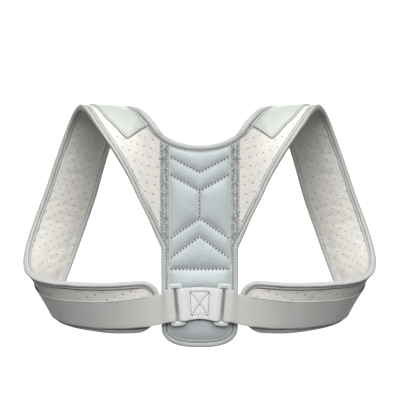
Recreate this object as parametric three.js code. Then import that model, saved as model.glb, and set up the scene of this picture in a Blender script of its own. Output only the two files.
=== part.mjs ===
// Posture corrector in its worn form, in millimetres. +X is the wearer's right, +Y the wearer's front and
// +Z up. The origin lies midway between the undersides of the two shoulder crests.
import * as THREE from 'three';
import { mergeVertices } from 'three/addons/utils/BufferGeometryUtils.js';

// Worn form: how far each strap's middle line reaches from the base's edge, from back to front, and downward
const LOOP_REACH = 155;
const LOOP_DEPTH = 150;
const LOOP_DROP = 236;

// Base panel behind the spine
const BASE_WIDTH = 92.4;
const BASE_HEIGHT = 246;
const COLLAR_DROP = 35;
const COLLAR_ROUNDNESS = 2.3;
const TAIL_HEIGHT = 27;
const TAIL_ROUNDNESS = 2.6;

// Padded cloth of the base and the straps
const STRAP_WIDTH = 65;
const CLOTH_THICKNESS = 5;
const STRAP_PUFF = 1.4;
const PUFF_START = 8;
const PUFF_RISE = 20;
const PAD_END_RADIUS = 26;
const PAD_END_SETBACK = 2.5;

// Folded tape over the edges
const BINDING_WIDTH = 7.2;
const BINDING_WALL = 1;

// Tape over the seam between the base and a strap
const TAPE_WIDTH = 10;
const TAPE_THICKNESS = 0.8;

// Quilted cover, set in from the base's sides
const QUILT_MARGIN = 9;
const QUILT_SEAM_THICKNESS = 1.2;
const QUILT_PUFF = 4.8;
const UPRIGHT_SEAM_REACH = 9;

// Shoulder patch
const PATCH_THICKNESS = 1.8;

// Webbing and rings
const WEBBING_WIDTH = 39;
const WEBBING_THICKNESS = 1.4;
const CENTER_WEBBING_THICKNESS = 3;
const RING_WIDTH = 17.5;
const RING_HEIGHT = 52;
const RING_THICKNESS = 3;
const RING_BAR = 4.2;
const RING_END_BAR = 5.6;
const RING_CORNER = 3.8;
const RING_HOLE_CORNER = 1.6;
const RING_BEVEL = 0.8;
const RING_SPACING = 55.5;
const WAIST_DROP = 225;
const RING_TILT = 5.2;
const RETURN_LENGTH = 24;
const CENTER_LOOP_TAPER = 9;

// Clearances
const GAP = 0.3;
const BAR_CLEARANCE = 0.55;
const WEBBING_SEAT = 0.9;

// Mesh fineness
const ROWS_PER_SPAN = 2;
const END_ROWS = 5;
const TAIL_ROWS = 9;
const COLLAR_ROWS = 6;
const LENGTH_SAMPLES = 40;
const QUILT_COLUMNS = 10;
const PATCH_STEPS = 2;
const LOOP_STEPS = 10;

const BASE_HALF = BASE_WIDTH / 2;
const CLOTH_HALF = CLOTH_THICKNESS / 2;
const PANEL_Y = -LOOP_DEPTH / 2;
const COLLAR_Z = -COLLAR_DROP;
const TAIL_Z = COLLAR_Z - BASE_HEIGHT;
const BINDING_INNER = CLOTH_HALF + GAP;
const BINDING_OUTER = BINDING_INNER + BINDING_WALL;
const CLOTH_SETBACK = BINDING_WALL + GAP;
const BINDING_REACH = BINDING_WIDTH + GAP;
const QUILT_HALF = BASE_HALF - QUILT_MARGIN;

// The left strap's sections, from the seam at the base over the shoulder to the rounded end under the arm.
// out, deep and down place its middle line as shares of the loop's reach, depth and drop, width is a share
// of the strap's width, and tilt and lean turn the line across the strap, from the outer edge to the arm-hole
// edge.
const STRAP_SECTIONS = [
  { name: 'seam', out: -0.01, deep: 0, down: 0.382, width: 2.07, tilt: -88, lean: 0 },
  { name: 'wing foot', out: 0.034, deep: 0.001, down: 0.336, width: 2, tilt: -88.5, lean: -0.2 },
  { name: 'wing', out: 0.077, deep: 0.01, down: 0.281, width: 1.78, tilt: -86.5, lean: -1.8 },
  { name: 'wing top', out: 0.129, deep: 0.033, down: 0.222, width: 1.52, tilt: -82, lean: -5 },
  { name: 'rise', out: 0.192, deep: 0.077, down: 0.15, width: 1.22, tilt: -74, lean: -12.5 },
  { name: 'back shoulder', out: 0.27, deep: 0.153, down: 0.079, width: 0.98, tilt: -54, lean: -24 },
  { name: 'near crest', out: 0.352, deep: 0.28, down: 0.028, width: 0.89, tilt: -22, lean: -26 },
  { name: 'crest', out: 0.432, deep: 0.473, down: -0.007, width: 0.9, tilt: 0, lean: -9 },
  { name: 'front crest', out: 0.491, deep: 0.69, down: 0.009, width: 0.93, tilt: 3, lean: -6 },
  { name: 'front shoulder', out: 0.55, deep: 0.865, down: 0.075, width: 0.96, tilt: 2.5, lean: -8.5 },
  { name: 'chest top', out: 0.615, deep: 0.952, down: 0.183, width: 0.98, tilt: 2.5, lean: -13 },
  { name: 'chest', out: 0.686, deep: 0.985, down: 0.321, width: 1.01, tilt: 4.5, lean: -16.5 },
  { name: 'chest middle', out: 0.771, deep: 0.987, down: 0.5, width: 1.045, tilt: 9, lean: -19.5 },
  { name: 'chest low', out: 0.861, deep: 0.95, down: 0.664, width: 1.07, tilt: 15.5, lean: -24 },
  { name: 'side front', out: 0.931, deep: 0.865, down: 0.8, width: 1.085, tilt: 26.5, lean: -29 },
  { name: 'side', out: 0.972, deep: 0.735, down: 0.899, width: 1.105, tilt: 43, lean: -33 },
  { name: 'side turn', out: 0.967, deep: 0.56, down: 0.961, width: 1.11, tilt: 60, lean: -34.5 },
  { name: 'side back', out: 0.885, deep: 0.382, down: 0.99, width: 1.09, tilt: 75, lean: -33 },
  { name: 'flank', out: 0.728, deep: 0.23, down: 0.997, width: 1.075, tilt: 85.5, lean: -29 },
  { name: 'low back', out: 0.55, deep: 0.137, down: 0.999, width: 1.07, tilt: 91, lean: -24.5 },
  { name: 'pad', out: 0.378, deep: 0.08, down: 0.998, width: 1.065, tilt: 93, lean: -19 },
  { name: 'pad end', out: 0.201, deep: 0.035, down: 0.988, width: 1.04, tilt: 93.5, lean: -12 },
  { name: 'end', out: 0, deep: 0, down: 0.973, width: 0.99, tilt: 93.5, lean: -5 },
];

// The quilt's seams from the collar down: the drop of each seam at its middle and at its two ends, as shares
// of the base's height, and whether an upright seam splits the puffs below it
const QUILT_SEAMS = [
  { middle: 0.13, side: 0.05, split: false },
  { middle: 0.221, side: 0.136, split: true },
  { middle: 0.356, side: 0.46, split: false },
  { middle: 0.445, side: 0.558, split: false },
  { middle: 0.606, side: 0.606, split: false },
];

// The shoulder patch's rows from its front end to its near end: section numbers and shares across the strap,
// from the outer edge, of its near side, its middle and its far side
const PATCH_ROWS = [
  { near: [9, 0.13], middle: [9, 0.46], far: [9, 0.8] },
  { near: [8, 0.13], middle: [8, 0.46], far: [8, 0.79] },
  { near: [7, 0.13], middle: [7, 0.45], far: [7, 0.77] },
  { near: [6, 0.13], middle: [6.12, 0.43], far: [6.2, 0.74] },
  { near: [5, 0.11], middle: [5.4, 0.39], far: [5.6, 0.69] },
  { near: [3.9, 0.09], middle: [4.75, 0.35], far: [5.1, 0.66] },
  { near: [2.8, 0.07], middle: [3.95, 0.3], far: [4.6, 0.61] },
];

// The webbing's middle line on the strap: its shift toward the arm-hole edge as a share of the strap's width,
// and the share of its way out to the ring
const WEBBING_ROUTE = [
  { section: 14.5, shift: -0.13, rise: 0 },
  { section: 17, shift: -0.14, rise: 0 },
  { section: 19, shift: -0.12, rise: 0 },
  { section: 20, shift: -0.1, rise: 0 },
  { section: 21, shift: -0.075, rise: 0.08 },
  { section: 21.5, shift: -0.06, rise: 0.25 },
  { section: 22, shift: -0.04, rise: 0.5 },
];

const material = (color, roughness) => new THREE.MeshStandardMaterial({ color, roughness, metalness: 0 });
const perforatedCloth = material('#e3dfda', 0.9);
const quiltedLeather = material('#c0c8cb', 0.55);
const bindingTape = material('#c0c3be', 0.85);
const seamTape = material('#a9ada8', 0.9);
const patchCloth = material('#dde2de', 0.8);
const webbing = material('#cfd0cd', 0.85);
const ringPlastic = material('#dce2df', 0.3);

const mix = THREE.MathUtils.lerp;
const ease = THREE.MathUtils.smoothstep;

// Section interpolation: the row of a table at a place between two of its entries
function tableRow(table, key, place, names) {
  let index = table.findIndex((row) => row[key] >= place);
  index = Math.max(1, index < 0 ? table.length - 1 : index);
  const low = table[index - 1];
  const high = table[index];
  const share = (place - low[key]) / (high[key] - low[key]);
  return Object.fromEntries(names.map((name) => [name, mix(low[name], high[name], share)]));
}

// Strap surface: a sheet ruled between two smooth edges, the outer edge (share 0) and the arm-hole edge
// (share 1)
function sectionEdges(section) {
  const middle = new THREE.Vector3(
    -(BASE_HALF + section.out * LOOP_REACH),
    PANEL_Y + section.deep * LOOP_DEPTH,
    -section.down * LOOP_DROP,
  );
  const tilt = THREE.MathUtils.degToRad(section.tilt);
  const lean = THREE.MathUtils.degToRad(section.lean);
  const level = Math.cos(lean);
  const across = new THREE.Vector3(-Math.cos(tilt) * level, Math.sin(lean), Math.sin(tilt) * level);
  const half = section.width * STRAP_WIDTH / 2;
  return {
    outer: middle.clone().addScaledVector(across, -half),
    armHole: middle.clone().addScaledVector(across, half),
  };
}

const smoothEdge = (points) => new THREE.CatmullRomCurve3(points, false, 'centripetal');
const sectionEdgeList = STRAP_SECTIONS.map(sectionEdges);
const outerEdge = smoothEdge(sectionEdgeList.map((edges) => edges.outer));
const armHoleEdge = smoothEdge(sectionEdgeList.map((edges) => edges.armHole));
const SECTION_SPANS = STRAP_SECTIONS.length - 1;

function surfacePoint(section, share) {
  const place = THREE.MathUtils.clamp(section / SECTION_SPANS, 0, 1);
  return outerEdge.getPoint(place).lerp(armHoleEdge.getPoint(place), share);
}

function acrossAt(section) {
  return surfacePoint(section, 1).sub(surfacePoint(section, 0));
}

function surfaceNormal(section, share) {
  const step = 0.02;
  const before = surfacePoint(Math.max(0, section - step), share);
  const after = surfacePoint(Math.min(SECTION_SPANS, section + step), share);
  return after.sub(before).cross(acrossAt(section)).normalize();
}

// Length along the strap's middle line from a section to the line's end
const middleLengths = [0];
for (let sample = 1; sample <= SECTION_SPANS * LENGTH_SAMPLES; sample += 1) {
  const here = surfacePoint(sample / LENGTH_SAMPLES, 0.5);
  const last = surfacePoint((sample - 1) / LENGTH_SAMPLES, 0.5);
  middleLengths.push(middleLengths[sample - 1] + here.distanceTo(last));
}
const STRAP_LENGTH = middleLengths[middleLengths.length - 1];

function lengthFromSeam(section) {
  const place = Math.min(section * LENGTH_SAMPLES, middleLengths.length - 1);
  const index = Math.min(Math.floor(place), middleLengths.length - 2);
  return mix(middleLengths[index], middleLengths[index + 1], place - index);
}

function sectionBeforeEnd(distance) {
  const target = STRAP_LENGTH - distance;
  const index = Math.max(1, middleLengths.findIndex((length) => length >= target));
  const low = middleLengths[index - 1];
  return (index - 1 + (target - low) / (middleLengths[index] - low)) / LENGTH_SAMPLES;
}

// Rows along the strap: a section number, and how far the rounded end's corners cut in there
const endStart = PAD_END_SETBACK + PAD_END_RADIUS + BINDING_WIDTH / 2;
const strapRows = [];
for (let row = 0; row / ROWS_PER_SPAN < sectionBeforeEnd(endStart); row += 1) {
  strapRows.push({ section: row / ROWS_PER_SPAN, cut: 0 });
}
for (let row = 0; row <= END_ROWS; row += 1) {
  const angle = row / END_ROWS * Math.PI / 2;
  const distance = PAD_END_SETBACK + PAD_END_RADIUS * (1 - Math.sin(angle));
  strapRows.push({ section: sectionBeforeEnd(distance), cut: PAD_END_RADIUS * (1 - Math.cos(angle)) });
}

// Rim of one side, from the collar's middle round the strap to the tail's middle: points with the cloth's
// normal
const towardBack = new THREE.Vector3(0, -1, 0);
const seamOuter = surfacePoint(0, 0);
const seamArmHole = surfacePoint(0, 1);

function collarZ(x) {
  return COLLAR_Z + (seamOuter.z - COLLAR_Z) * Math.abs(x / seamOuter.x) ** COLLAR_ROUNDNESS;
}

function rimRow(row, share) {
  const cutShare = row.cut / acrossAt(row.section).length();
  const place = share === 0 ? cutShare : 1 - cutShare;
  return { point: surfacePoint(row.section, place), normal: surfaceNormal(row.section, place) };
}

const panelPoint = (x, z) => ({ point: new THREE.Vector3(x, PANEL_Y, z), normal: towardBack.clone() });

const collarRim = [];
for (let row = 0; row < COLLAR_ROWS; row += 1) {
  const x = mix(-GAP / 2, seamOuter.x, row / COLLAR_ROWS);
  collarRim.push(panelPoint(x, collarZ(x)));
}
const outerRim = strapRows.map((row) => rimRow(row, 0));
const armHoleRim = strapRows.map((row) => rimRow(row, 1)).reverse();

// The arm-hole edge runs on into the base's upright side through a short bend
const BEND_PLACES = [0.35, 0.7, 1];
const SIDE_PLACES = [0.33, 0.67];
const seamDirection = seamArmHole.clone().sub(surfacePoint(0.05, 1)).normalize();
const bendReach = (-BASE_HALF - seamArmHole.x) / seamDirection.x;
const bend = new THREE.QuadraticBezierCurve(
  new THREE.Vector2(seamArmHole.x, seamArmHole.z),
  new THREE.Vector2(-BASE_HALF, seamArmHole.z + seamDirection.z * bendReach),
  new THREE.Vector2(-BASE_HALF, seamArmHole.z - 2 * Math.abs(seamDirection.z * bendReach)),
);
const sideRim = BEND_PLACES.map((place) => {
  const spot = bend.getPoint(place);
  return panelPoint(spot.x, spot.y);
});
const tailTop = TAIL_Z + TAIL_HEIGHT;
const sideStart = sideRim[sideRim.length - 1].point.z;
for (const share of SIDE_PLACES) {
  sideRim.push(panelPoint(-BASE_HALF, mix(sideStart, tailTop, share)));
}

function tailPoint(halfWidth, height, angle) {
  return {
    x: -halfWidth * Math.cos(angle) ** (2 / TAIL_ROUNDNESS),
    z: tailTop - height * Math.sin(angle) ** (2 / TAIL_ROUNDNESS),
  };
}

const tailRim = [];
for (let row = 0; row <= TAIL_ROWS; row += 1) {
  const spot = tailPoint(BASE_HALF, TAIL_HEIGHT, row / TAIL_ROWS * Math.PI / 2);
  tailRim.push(panelPoint(Math.min(spot.x, -GAP / 2), spot.z));
}

outerRim[0].normal.copy(towardBack);
armHoleRim[armHoleRim.length - 1].normal.copy(towardBack);
const rim = [...collarRim, ...outerRim, ...armHoleRim, ...sideRim, ...tailRim];

// Inward direction of the cloth at each rim point, square to the rim and to the cloth's normal
rim.forEach((spot, index) => {
  const before = rim[Math.max(0, index - 1)].point;
  const after = rim[Math.min(rim.length - 1, index + 1)].point;
  spot.along = after.clone().sub(before).normalize();
  spot.inward = spot.normal.clone().cross(spot.along).normalize();
});
rim[0].inward.set(0, 0, -1);
rim[rim.length - 1].inward.set(0, 0, 1);

const rimPoint = (spot, distance) => spot.point.clone().addScaledVector(spot.inward, distance);

// End caps: triangles between the corners of a flat section, or between the two faces of a sheet of columns
const sectionCap = (section) => (
  THREE.ShapeUtils.triangulateShape(section.map(([x, y]) => new THREE.Vector2(x, y)), []));

function sheetCap(columns) {
  const faces = [];
  for (let column = 0; column + 1 < columns; column += 1) {
    const back = 2 * columns - 1 - column;
    faces.push([column, column + 1, back - 1], [column, back - 1, back]);
  }
  return faces;
}

// Solid through a list of loops of points, closed at both ends by the cap's triangles
function skin(loops, cap) {
  const size = loops[0].length;
  const positions = [];
  const faces = [];
  loops.forEach((loop) => loop.forEach((point) => positions.push(point.x, point.y, point.z)));
  for (let row = 0; row + 1 < loops.length; row += 1) {
    for (let corner = 0; corner < size; corner += 1) {
      const a = row * size + corner;
      const b = row * size + (corner + 1) % size;
      faces.push(a, b, b + size, a, b + size, a + size);
    }
  }
  const last = (loops.length - 1) * size;
  for (const [a, b, c] of cap) {
    faces.push(c, b, a, last + a, last + b, last + c);
  }
  return closedGeometry(positions, faces);
}

// Closed geometry with its faces turned outward
function closedGeometry(positions, faces) {
  const spot = (index) => new THREE.Vector3().fromArray(positions, index * 3);
  let volume = 0;
  for (let index = 0; index < faces.length; index += 3) {
    volume += spot(faces[index]).dot(spot(faces[index + 1]).cross(spot(faces[index + 2])));
  }
  if (volume < 0) {
    faces.reverse();
  }
  const geometry = new THREE.BufferGeometry();
  geometry.setAttribute('position', new THREE.Float32BufferAttribute(positions, 3));
  geometry.setIndex(faces);
  return geometry;
}

function outwardGeometry(geometry) {
  geometry.deleteAttribute('normal');
  geometry.deleteAttribute('uv');
  const merged = mergeVertices(geometry, 1e-4);
  return closedGeometry(Array.from(merged.attributes.position.array), Array.from(merged.index.array));
}

// Extra half thickness of the strap's filling: none near the seam, the rounded end and the bound edges
function puffAt(section, share) {
  const before = lengthFromSeam(section);
  const fromSeam = ease(before, PUFF_START, PUFF_START + PUFF_RISE);
  const fromEnd = ease(STRAP_LENGTH - PAD_END_SETBACK - before, BINDING_REACH, BINDING_REACH + PUFF_RISE);
  return STRAP_PUFF * fromSeam * fromEnd * Math.sin(Math.PI * THREE.MathUtils.clamp(share, 0, 1));
}

// One strap: three plain columns between the two columns that reach into each binding
const STRAP_COLUMNS = [0.25, 0.5, 0.75];

// The place where the cloth leaves the binding on one rim: on the line across the strap at the seam, and
// straight in from the rim once the lengths from the seam below are passed
const OUTER_EXIT_TURN = { from: 0, to: 6 };
const ARM_HOLE_EXIT_TURN = { from: 10, to: 35 };
const EXIT_SHARE_LIMIT = 0.3;

function bindingExit(rimSpot, from, to, straight) {
  const across = to.clone().sub(from);
  const slant = across.clone().normalize().dot(rimSpot.inward);
  const distance = (BINDING_REACH + GAP - CLOTH_SETBACK) / slant;
  const share = Math.min(distance / across.length(), EXIT_SHARE_LIMIT);
  const onLine = from.clone().addScaledVector(across, share);
  return onLine.lerp(rimPoint(rimSpot, BINDING_REACH + GAP), straight);
}

function strapGeometry() {
  const loops = strapRows.map((row, index) => {
    const outer = rim[collarRim.length + index];
    const armHole = rim[collarRim.length + outerRim.length + armHoleRim.length - 1 - index];
    const outerPoint = rimPoint(outer, CLOTH_SETBACK);
    const armHolePoint = rimPoint(armHole, CLOTH_SETBACK);
    const fromSeam = lengthFromSeam(row.section);
    const beforeCorner = 1 - ease(row.cut, 0, PAD_END_RADIUS / 4);
    const outerTurn = ease(fromSeam, OUTER_EXIT_TURN.from, OUTER_EXIT_TURN.to) * beforeCorner;
    const armHoleTurn = ease(fromSeam, ARM_HOLE_EXIT_TURN.from, ARM_HOLE_EXIT_TURN.to) * beforeCorner;
    const outerExit = bindingExit(outer, outerPoint, armHolePoint, outerTurn);
    const armHoleExit = bindingExit(armHole, armHolePoint, outerPoint, armHoleTurn);
    const columns = [
      { point: outerPoint, share: 0, puff: 0 },
      { point: outerExit, share: 0, puff: 0 },
      ...STRAP_COLUMNS.map((share) => ({
        point: outerExit.clone().lerp(armHoleExit, share),
        share,
        puff: puffAt(row.section, share),
      })),
      { point: armHoleExit, share: 1, puff: 0 },
      { point: armHolePoint, share: 1, puff: 0 },
    ];
    const lifted = (column, side) => {
      const normal = outer.normal.clone().lerp(armHole.normal, column.share).normalize();
      return column.point.clone().addScaledVector(normal, side * (CLOTH_HALF + column.puff));
    };
    return [
      ...columns.map((column) => lifted(column, 1)),
      ...columns.toReversed().map((column) => lifted(column, -1)),
    ];
  });
  return skin(loops, sheetCap(STRAP_COLUMNS.length + 4));
}

// The binding: a folded channel that the cloth's edge sits in
const BINDING_SECTION = [
  [0, -BINDING_OUTER],
  [BINDING_WIDTH, -BINDING_OUTER],
  [BINDING_WIDTH, -BINDING_INNER],
  [BINDING_WALL, -BINDING_INNER],
  [BINDING_WALL, BINDING_INNER],
  [BINDING_WIDTH, BINDING_INNER],
  [BINDING_WIDTH, BINDING_OUTER],
  [0, BINDING_OUTER],
];

function bindingGeometry() {
  const loops = rim.map((spot) => BINDING_SECTION.map(([depth, lift]) => (
    rimPoint(spot, depth).addScaledVector(spot.normal, lift))));
  return skin(loops, sectionCap(BINDING_SECTION));
}

// The base: the outline between the two seams, set back into the bindings
function uprightPlate(outline, thickness, outerY) {
  const shape = new THREE.Shape(outline);
  const geometry = new THREE.ExtrudeGeometry(shape, { depth: thickness, bevelEnabled: false });
  geometry.rotateX(Math.PI / 2);
  geometry.translate(0, outerY + thickness, 0);
  return outwardGeometry(geometry);
}

function baseGeometry() {
  const armHoleSeam = rim[collarRim.length + outerRim.length + armHoleRim.length - 1];
  const half = [
    ...collarRim.slice(1).map((spot) => rimPoint(spot, CLOTH_SETBACK)),
    rimPoint(rim[collarRim.length], CLOTH_SETBACK + GAP).add(new THREE.Vector3(GAP, 0, 0)),
    rimPoint(armHoleSeam, CLOTH_SETBACK).add(new THREE.Vector3(GAP, 0, 0)),
    ...[...sideRim, ...tailRim.slice(0, -1)].map((spot) => rimPoint(spot, CLOTH_SETBACK)),
  ].map((point) => new THREE.Vector2(point.x, point.z));
  const outline = [
    new THREE.Vector2(0, COLLAR_Z - CLOTH_SETBACK),
    ...half,
    new THREE.Vector2(0, TAIL_Z + CLOTH_SETBACK),
    ...half.toReversed().map((point) => new THREE.Vector2(-point.x, point.y)),
  ];
  return uprightPlate(outline, CLOTH_THICKNESS, PANEL_Y - CLOTH_HALF);
}

// The quilted cover: puffs between the seams, level along the seams and the sewn edges. The powers set how
// steeply a puff rises beside an edge and beside a seam.
const QUILT_BACK_Y = PANEL_Y - CLOTH_HALF - GAP;
const PUFF_ROWS = [0, 0.12, 0.38, 0.68, 0.9];
const EDGE_RISE_POWER = 0.4;
const SEAM_RISE_POWER = 0.6;

function quiltTop(x) {
  const slope = Math.abs(collarZ(Math.abs(x) + 0.5) - collarZ(Math.abs(x) - 0.5));
  return collarZ(x) - BINDING_REACH * Math.hypot(1, slope);
}

function quiltBottom(x) {
  const halfWidth = BASE_HALF - BINDING_REACH;
  const share = Math.min(1, Math.abs(x) / Math.max(halfWidth, QUILT_HALF + GAP)) ** TAIL_ROUNDNESS;
  return tailTop - (TAIL_HEIGHT - BINDING_REACH) * (1 - share) ** (1 / TAIL_ROUNDNESS);
}

function quiltLines(x) {
  const share = Math.abs(x) / QUILT_HALF;
  const seams = QUILT_SEAMS.map((seam) => COLLAR_Z - BASE_HEIGHT * mix(seam.middle, seam.side, share));
  return [quiltTop(x), ...seams, quiltBottom(x)];
}

function quiltGeometry() {
  const columns = Array.from({ length: QUILT_COLUMNS + 1 }, (_, place) => (
    mix(-QUILT_HALF, QUILT_HALF, place / QUILT_COLUMNS)));
  const bands = QUILT_SEAMS.length + 1;
  const loops = columns.map((x) => {
    const lines = quiltLines(x);
    const front = [];
    const back = [];
    const fromEdge = Math.max(0, Math.cos(Math.PI / 2 * x / QUILT_HALF)) ** EDGE_RISE_POWER;
    for (let band = 0; band < bands; band += 1) {
      const split = band > 0 && QUILT_SEAMS[band - 1].split;
      const fromUpright = split ? ease(Math.abs(x), 0, UPRIGHT_SEAM_REACH) : 1;
      for (const share of PUFF_ROWS) {
        const z = mix(lines[band], lines[band + 1], share);
        const rise = fromEdge * fromUpright * Math.sin(Math.PI * share) ** SEAM_RISE_POWER;
        front.push(new THREE.Vector3(x, QUILT_BACK_Y - QUILT_SEAM_THICKNESS - QUILT_PUFF * rise, z));
        back.push(new THREE.Vector3(x, QUILT_BACK_Y, z));
      }
    }
    front.push(new THREE.Vector3(x, QUILT_BACK_Y - QUILT_SEAM_THICKNESS, lines[bands]));
    back.push(new THREE.Vector3(x, QUILT_BACK_Y, lines[bands]));
    return [...front, ...back.toReversed()];
  });
  return skin(loops, sheetCap(bands * PUFF_ROWS.length + 1));
}

// Tape over the seam, from the collar's binding down to the arm-hole's binding
const TAPE_INNER_X = QUILT_HALF + GAP;
const TAPE_OUTER_X = TAPE_INNER_X + TAPE_WIDTH;

function tapeGeometry() {
  const bindingLine = [...armHoleRim, ...sideRim].map((spot) => rimPoint(spot, BINDING_REACH + GAP));
  const first = bindingLine.findIndex((point) => point.x > -TAPE_OUTER_X && point.z < seamOuter.z);
  const lastX = -TAPE_INNER_X - TAPE_WIDTH / 8;
  const last = bindingLine.findIndex((point, index) => index > first && point.x > lastX);
  const before = bindingLine[first - 1];
  const share = (-TAPE_OUTER_X - before.x) / (bindingLine[first].x - before.x);
  const flat = (x) => collarZ(Math.max(x, seamOuter.x)) - (BINDING_REACH + GAP) * Math.SQRT2;
  const lowEnd = bindingLine.slice(first, last);
  const outline = [
    new THREE.Vector2(-TAPE_INNER_X, flat(-TAPE_INNER_X)),
    new THREE.Vector2(-TAPE_OUTER_X, flat(-TAPE_OUTER_X)),
    new THREE.Vector2(-TAPE_OUTER_X, mix(before.z, bindingLine[first].z, share)),
    ...lowEnd.map((point) => new THREE.Vector2(point.x, point.z)),
    new THREE.Vector2(-TAPE_INNER_X, lowEnd[lowEnd.length - 1].z),
  ];
  return uprightPlate(outline, TAPE_THICKNESS, PANEL_Y - CLOTH_HALF - GAP - TAPE_THICKNESS);
}

// Shoulder patch on the strap's outer face
const PATCH_COLUMNS = [0, 0.25, 0.5, 0.75, 1];

function patchSpot(row, place) {
  const low = place < 0.5 ? row.near : row.middle;
  const high = place < 0.5 ? row.middle : row.far;
  const share = place < 0.5 ? place * 2 : place * 2 - 1;
  return [mix(low[0], high[0], share), mix(low[1], high[1], share)];
}

function patchGeometry() {
  const loops = [];
  for (let step = 0; step <= (PATCH_ROWS.length - 1) * PATCH_STEPS; step += 1) {
    const index = Math.min(Math.floor(step / PATCH_STEPS), PATCH_ROWS.length - 2);
    const share = step / PATCH_STEPS - index;
    const columns = PATCH_COLUMNS.map((place) => {
      const [fromSection, fromShare] = patchSpot(PATCH_ROWS[index], place);
      const [toSection, toShare] = patchSpot(PATCH_ROWS[index + 1], place);
      const section = mix(fromSection, toSection, share);
      const across = mix(fromShare, toShare, share);
      const point = surfacePoint(section, across);
      const normal = surfaceNormal(section, across);
      const seat = CLOTH_HALF + STRAP_PUFF + GAP;
      return [seat + PATCH_THICKNESS, seat].map((lift) => point.clone().addScaledVector(normal, lift));
    });
    loops.push([...columns.map((pair) => pair[0]), ...columns.toReversed().map((pair) => pair[1])]);
  }
  return skin(loops, sheetCap(PATCH_COLUMNS.length));
}

// The waist line through both rings and the webbing between them bows up slightly in its middle
const WEBBING_HALF = WEBBING_THICKNESS / 2;
const CENTER_REST_Y = QUILT_BACK_Y - QUILT_SEAM_THICKNESS - QUILT_PUFF - GAP;
const LOOP_HALF_THICKNESS = RING_THICKNESS / 2 + BAR_CLEARANCE + WEBBING_THICKNESS;
const WAIST_Y = CENTER_REST_Y - LOOP_HALF_THICKNESS;
const BAR_OFFSET = (RING_WIDTH - RING_BAR) / 2;
const LOOP_RADIUS_X = RING_BAR / 2 + BAR_CLEARANCE + WEBBING_HALF;
const LOOP_RADIUS_Y = RING_THICKNESS / 2 + BAR_CLEARANCE + WEBBING_HALF;

const BAR_PLACE = RING_SPACING / 2 - BAR_OFFSET;
const BEND_REACH = BAR_PLACE - LOOP_RADIUS_X - WEBBING_THICKNESS;
const WAIST_BEND = THREE.MathUtils.degToRad(RING_TILT);
const BEND_RADIUS = BEND_REACH / WAIST_BEND;

// A spot on the waist: distance along it (negative on the left), height above it, and depth toward the back.
// It bends between the rings and runs on straight through them.
function waistPoint(along, height, depth) {
  const bent = THREE.MathUtils.clamp(along, -BEND_REACH, BEND_REACH);
  const angle = bent / BEND_RADIUS;
  const straight = along - bent;
  const radius = BEND_RADIUS + height;
  return new THREE.Vector3(
    radius * Math.sin(angle) + straight * Math.cos(angle),
    WAIST_Y - depth,
    -WAIST_DROP + radius * Math.cos(angle) - BEND_RADIUS - straight * Math.sin(angle),
  );
}

function ringShape() {
  const rounded = (path, width, height, corner) => {
    const x = width / 2;
    const y = height / 2;
    path.moveTo(-x + corner, -y);
    path.lineTo(x - corner, -y);
    path.absarc(x - corner, -y + corner, corner, -Math.PI / 2, 0);
    path.lineTo(x, y - corner);
    path.absarc(x - corner, y - corner, corner, 0, Math.PI / 2);
    path.lineTo(-x + corner, y);
    path.absarc(-x + corner, y - corner, corner, Math.PI / 2, Math.PI);
    path.lineTo(-x, -y + corner);
    path.absarc(-x + corner, -y + corner, corner, Math.PI, Math.PI * 1.5);
    return path;
  };
  const shape = rounded(new THREE.Shape(), RING_WIDTH, RING_HEIGHT, RING_CORNER);
  const holeHeight = RING_HEIGHT - 2 * RING_END_BAR;
  shape.holes.push(rounded(new THREE.Path(), RING_WIDTH - 2 * RING_BAR, holeHeight, RING_HOLE_CORNER));
  return shape;
}

function ringGeometry() {
  const geometry = new THREE.ExtrudeGeometry(ringShape(), {
    depth: RING_THICKNESS - 2 * RING_BEVEL,
    bevelThickness: RING_BEVEL,
    bevelSize: RING_BEVEL,
    bevelOffset: -RING_BEVEL,
    bevelSegments: 1,
    curveSegments: 4,
  });
  geometry.translate(0, 0, RING_BEVEL - RING_THICKNESS / 2);
  geometry.rotateX(Math.PI / 2);
  return outwardGeometry(geometry);
}

// Webbing between the rings: two layers sewn together, opened into a loop round each ring's inner bar
const CENTER_PLACES = [0, 0.35, 0.65, 0.85];

function centerGeometry() {
  const outside = { x: LOOP_RADIUS_X + WEBBING_HALF, y: LOOP_RADIUS_Y + WEBBING_HALF };
  const inside = { x: LOOP_RADIUS_X - WEBBING_HALF, y: LOOP_RADIUS_Y - WEBBING_HALF };
  const half = [];
  for (const share of CENTER_PLACES) {
    const x = mix(0, BAR_PLACE, share);
    const opened = ease(x, BAR_PLACE - CENTER_LOOP_TAPER, BAR_PLACE);
    half.push([x, mix(CENTER_WEBBING_THICKNESS / 2, outside.y, opened)]);
  }
  for (let step = 0; step < LOOP_STEPS / 2; step += 1) {
    const angle = Math.PI / 2 - step / LOOP_STEPS * Math.PI;
    half.push([BAR_PLACE + outside.x * Math.cos(angle), outside.y * Math.sin(angle)]);
  }
  const right = [...half, [BAR_PLACE + outside.x, 0], ...half.toReversed().map(([x, y]) => [x, -y])];
  const left = right.slice(1, -1).toReversed().map(([x, y]) => [-x, y]);
  const shape = new THREE.Shape([...right, ...left].map(([x, y]) => new THREE.Vector2(x, y)));
  for (const side of [-1, 1]) {
    const hole = new THREE.Path();
    hole.absellipse(side * BAR_PLACE, 0, inside.x, inside.y, 0, 2 * Math.PI);
    shape.holes.push(hole);
  }
  const geometry = new THREE.ExtrudeGeometry(shape, {
    depth: WEBBING_WIDTH,
    bevelEnabled: false,
    curveSegments: 6,
  });
  const positions = geometry.attributes.position;
  for (let index = 0; index < positions.count; index += 1) {
    const height = positions.getZ(index) - WEBBING_WIDTH / 2;
    const spot = waistPoint(positions.getX(index), height, positions.getY(index));
    positions.setXYZ(index, spot.x, spot.y, spot.z);
  }
  return outwardGeometry(geometry);
}

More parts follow.
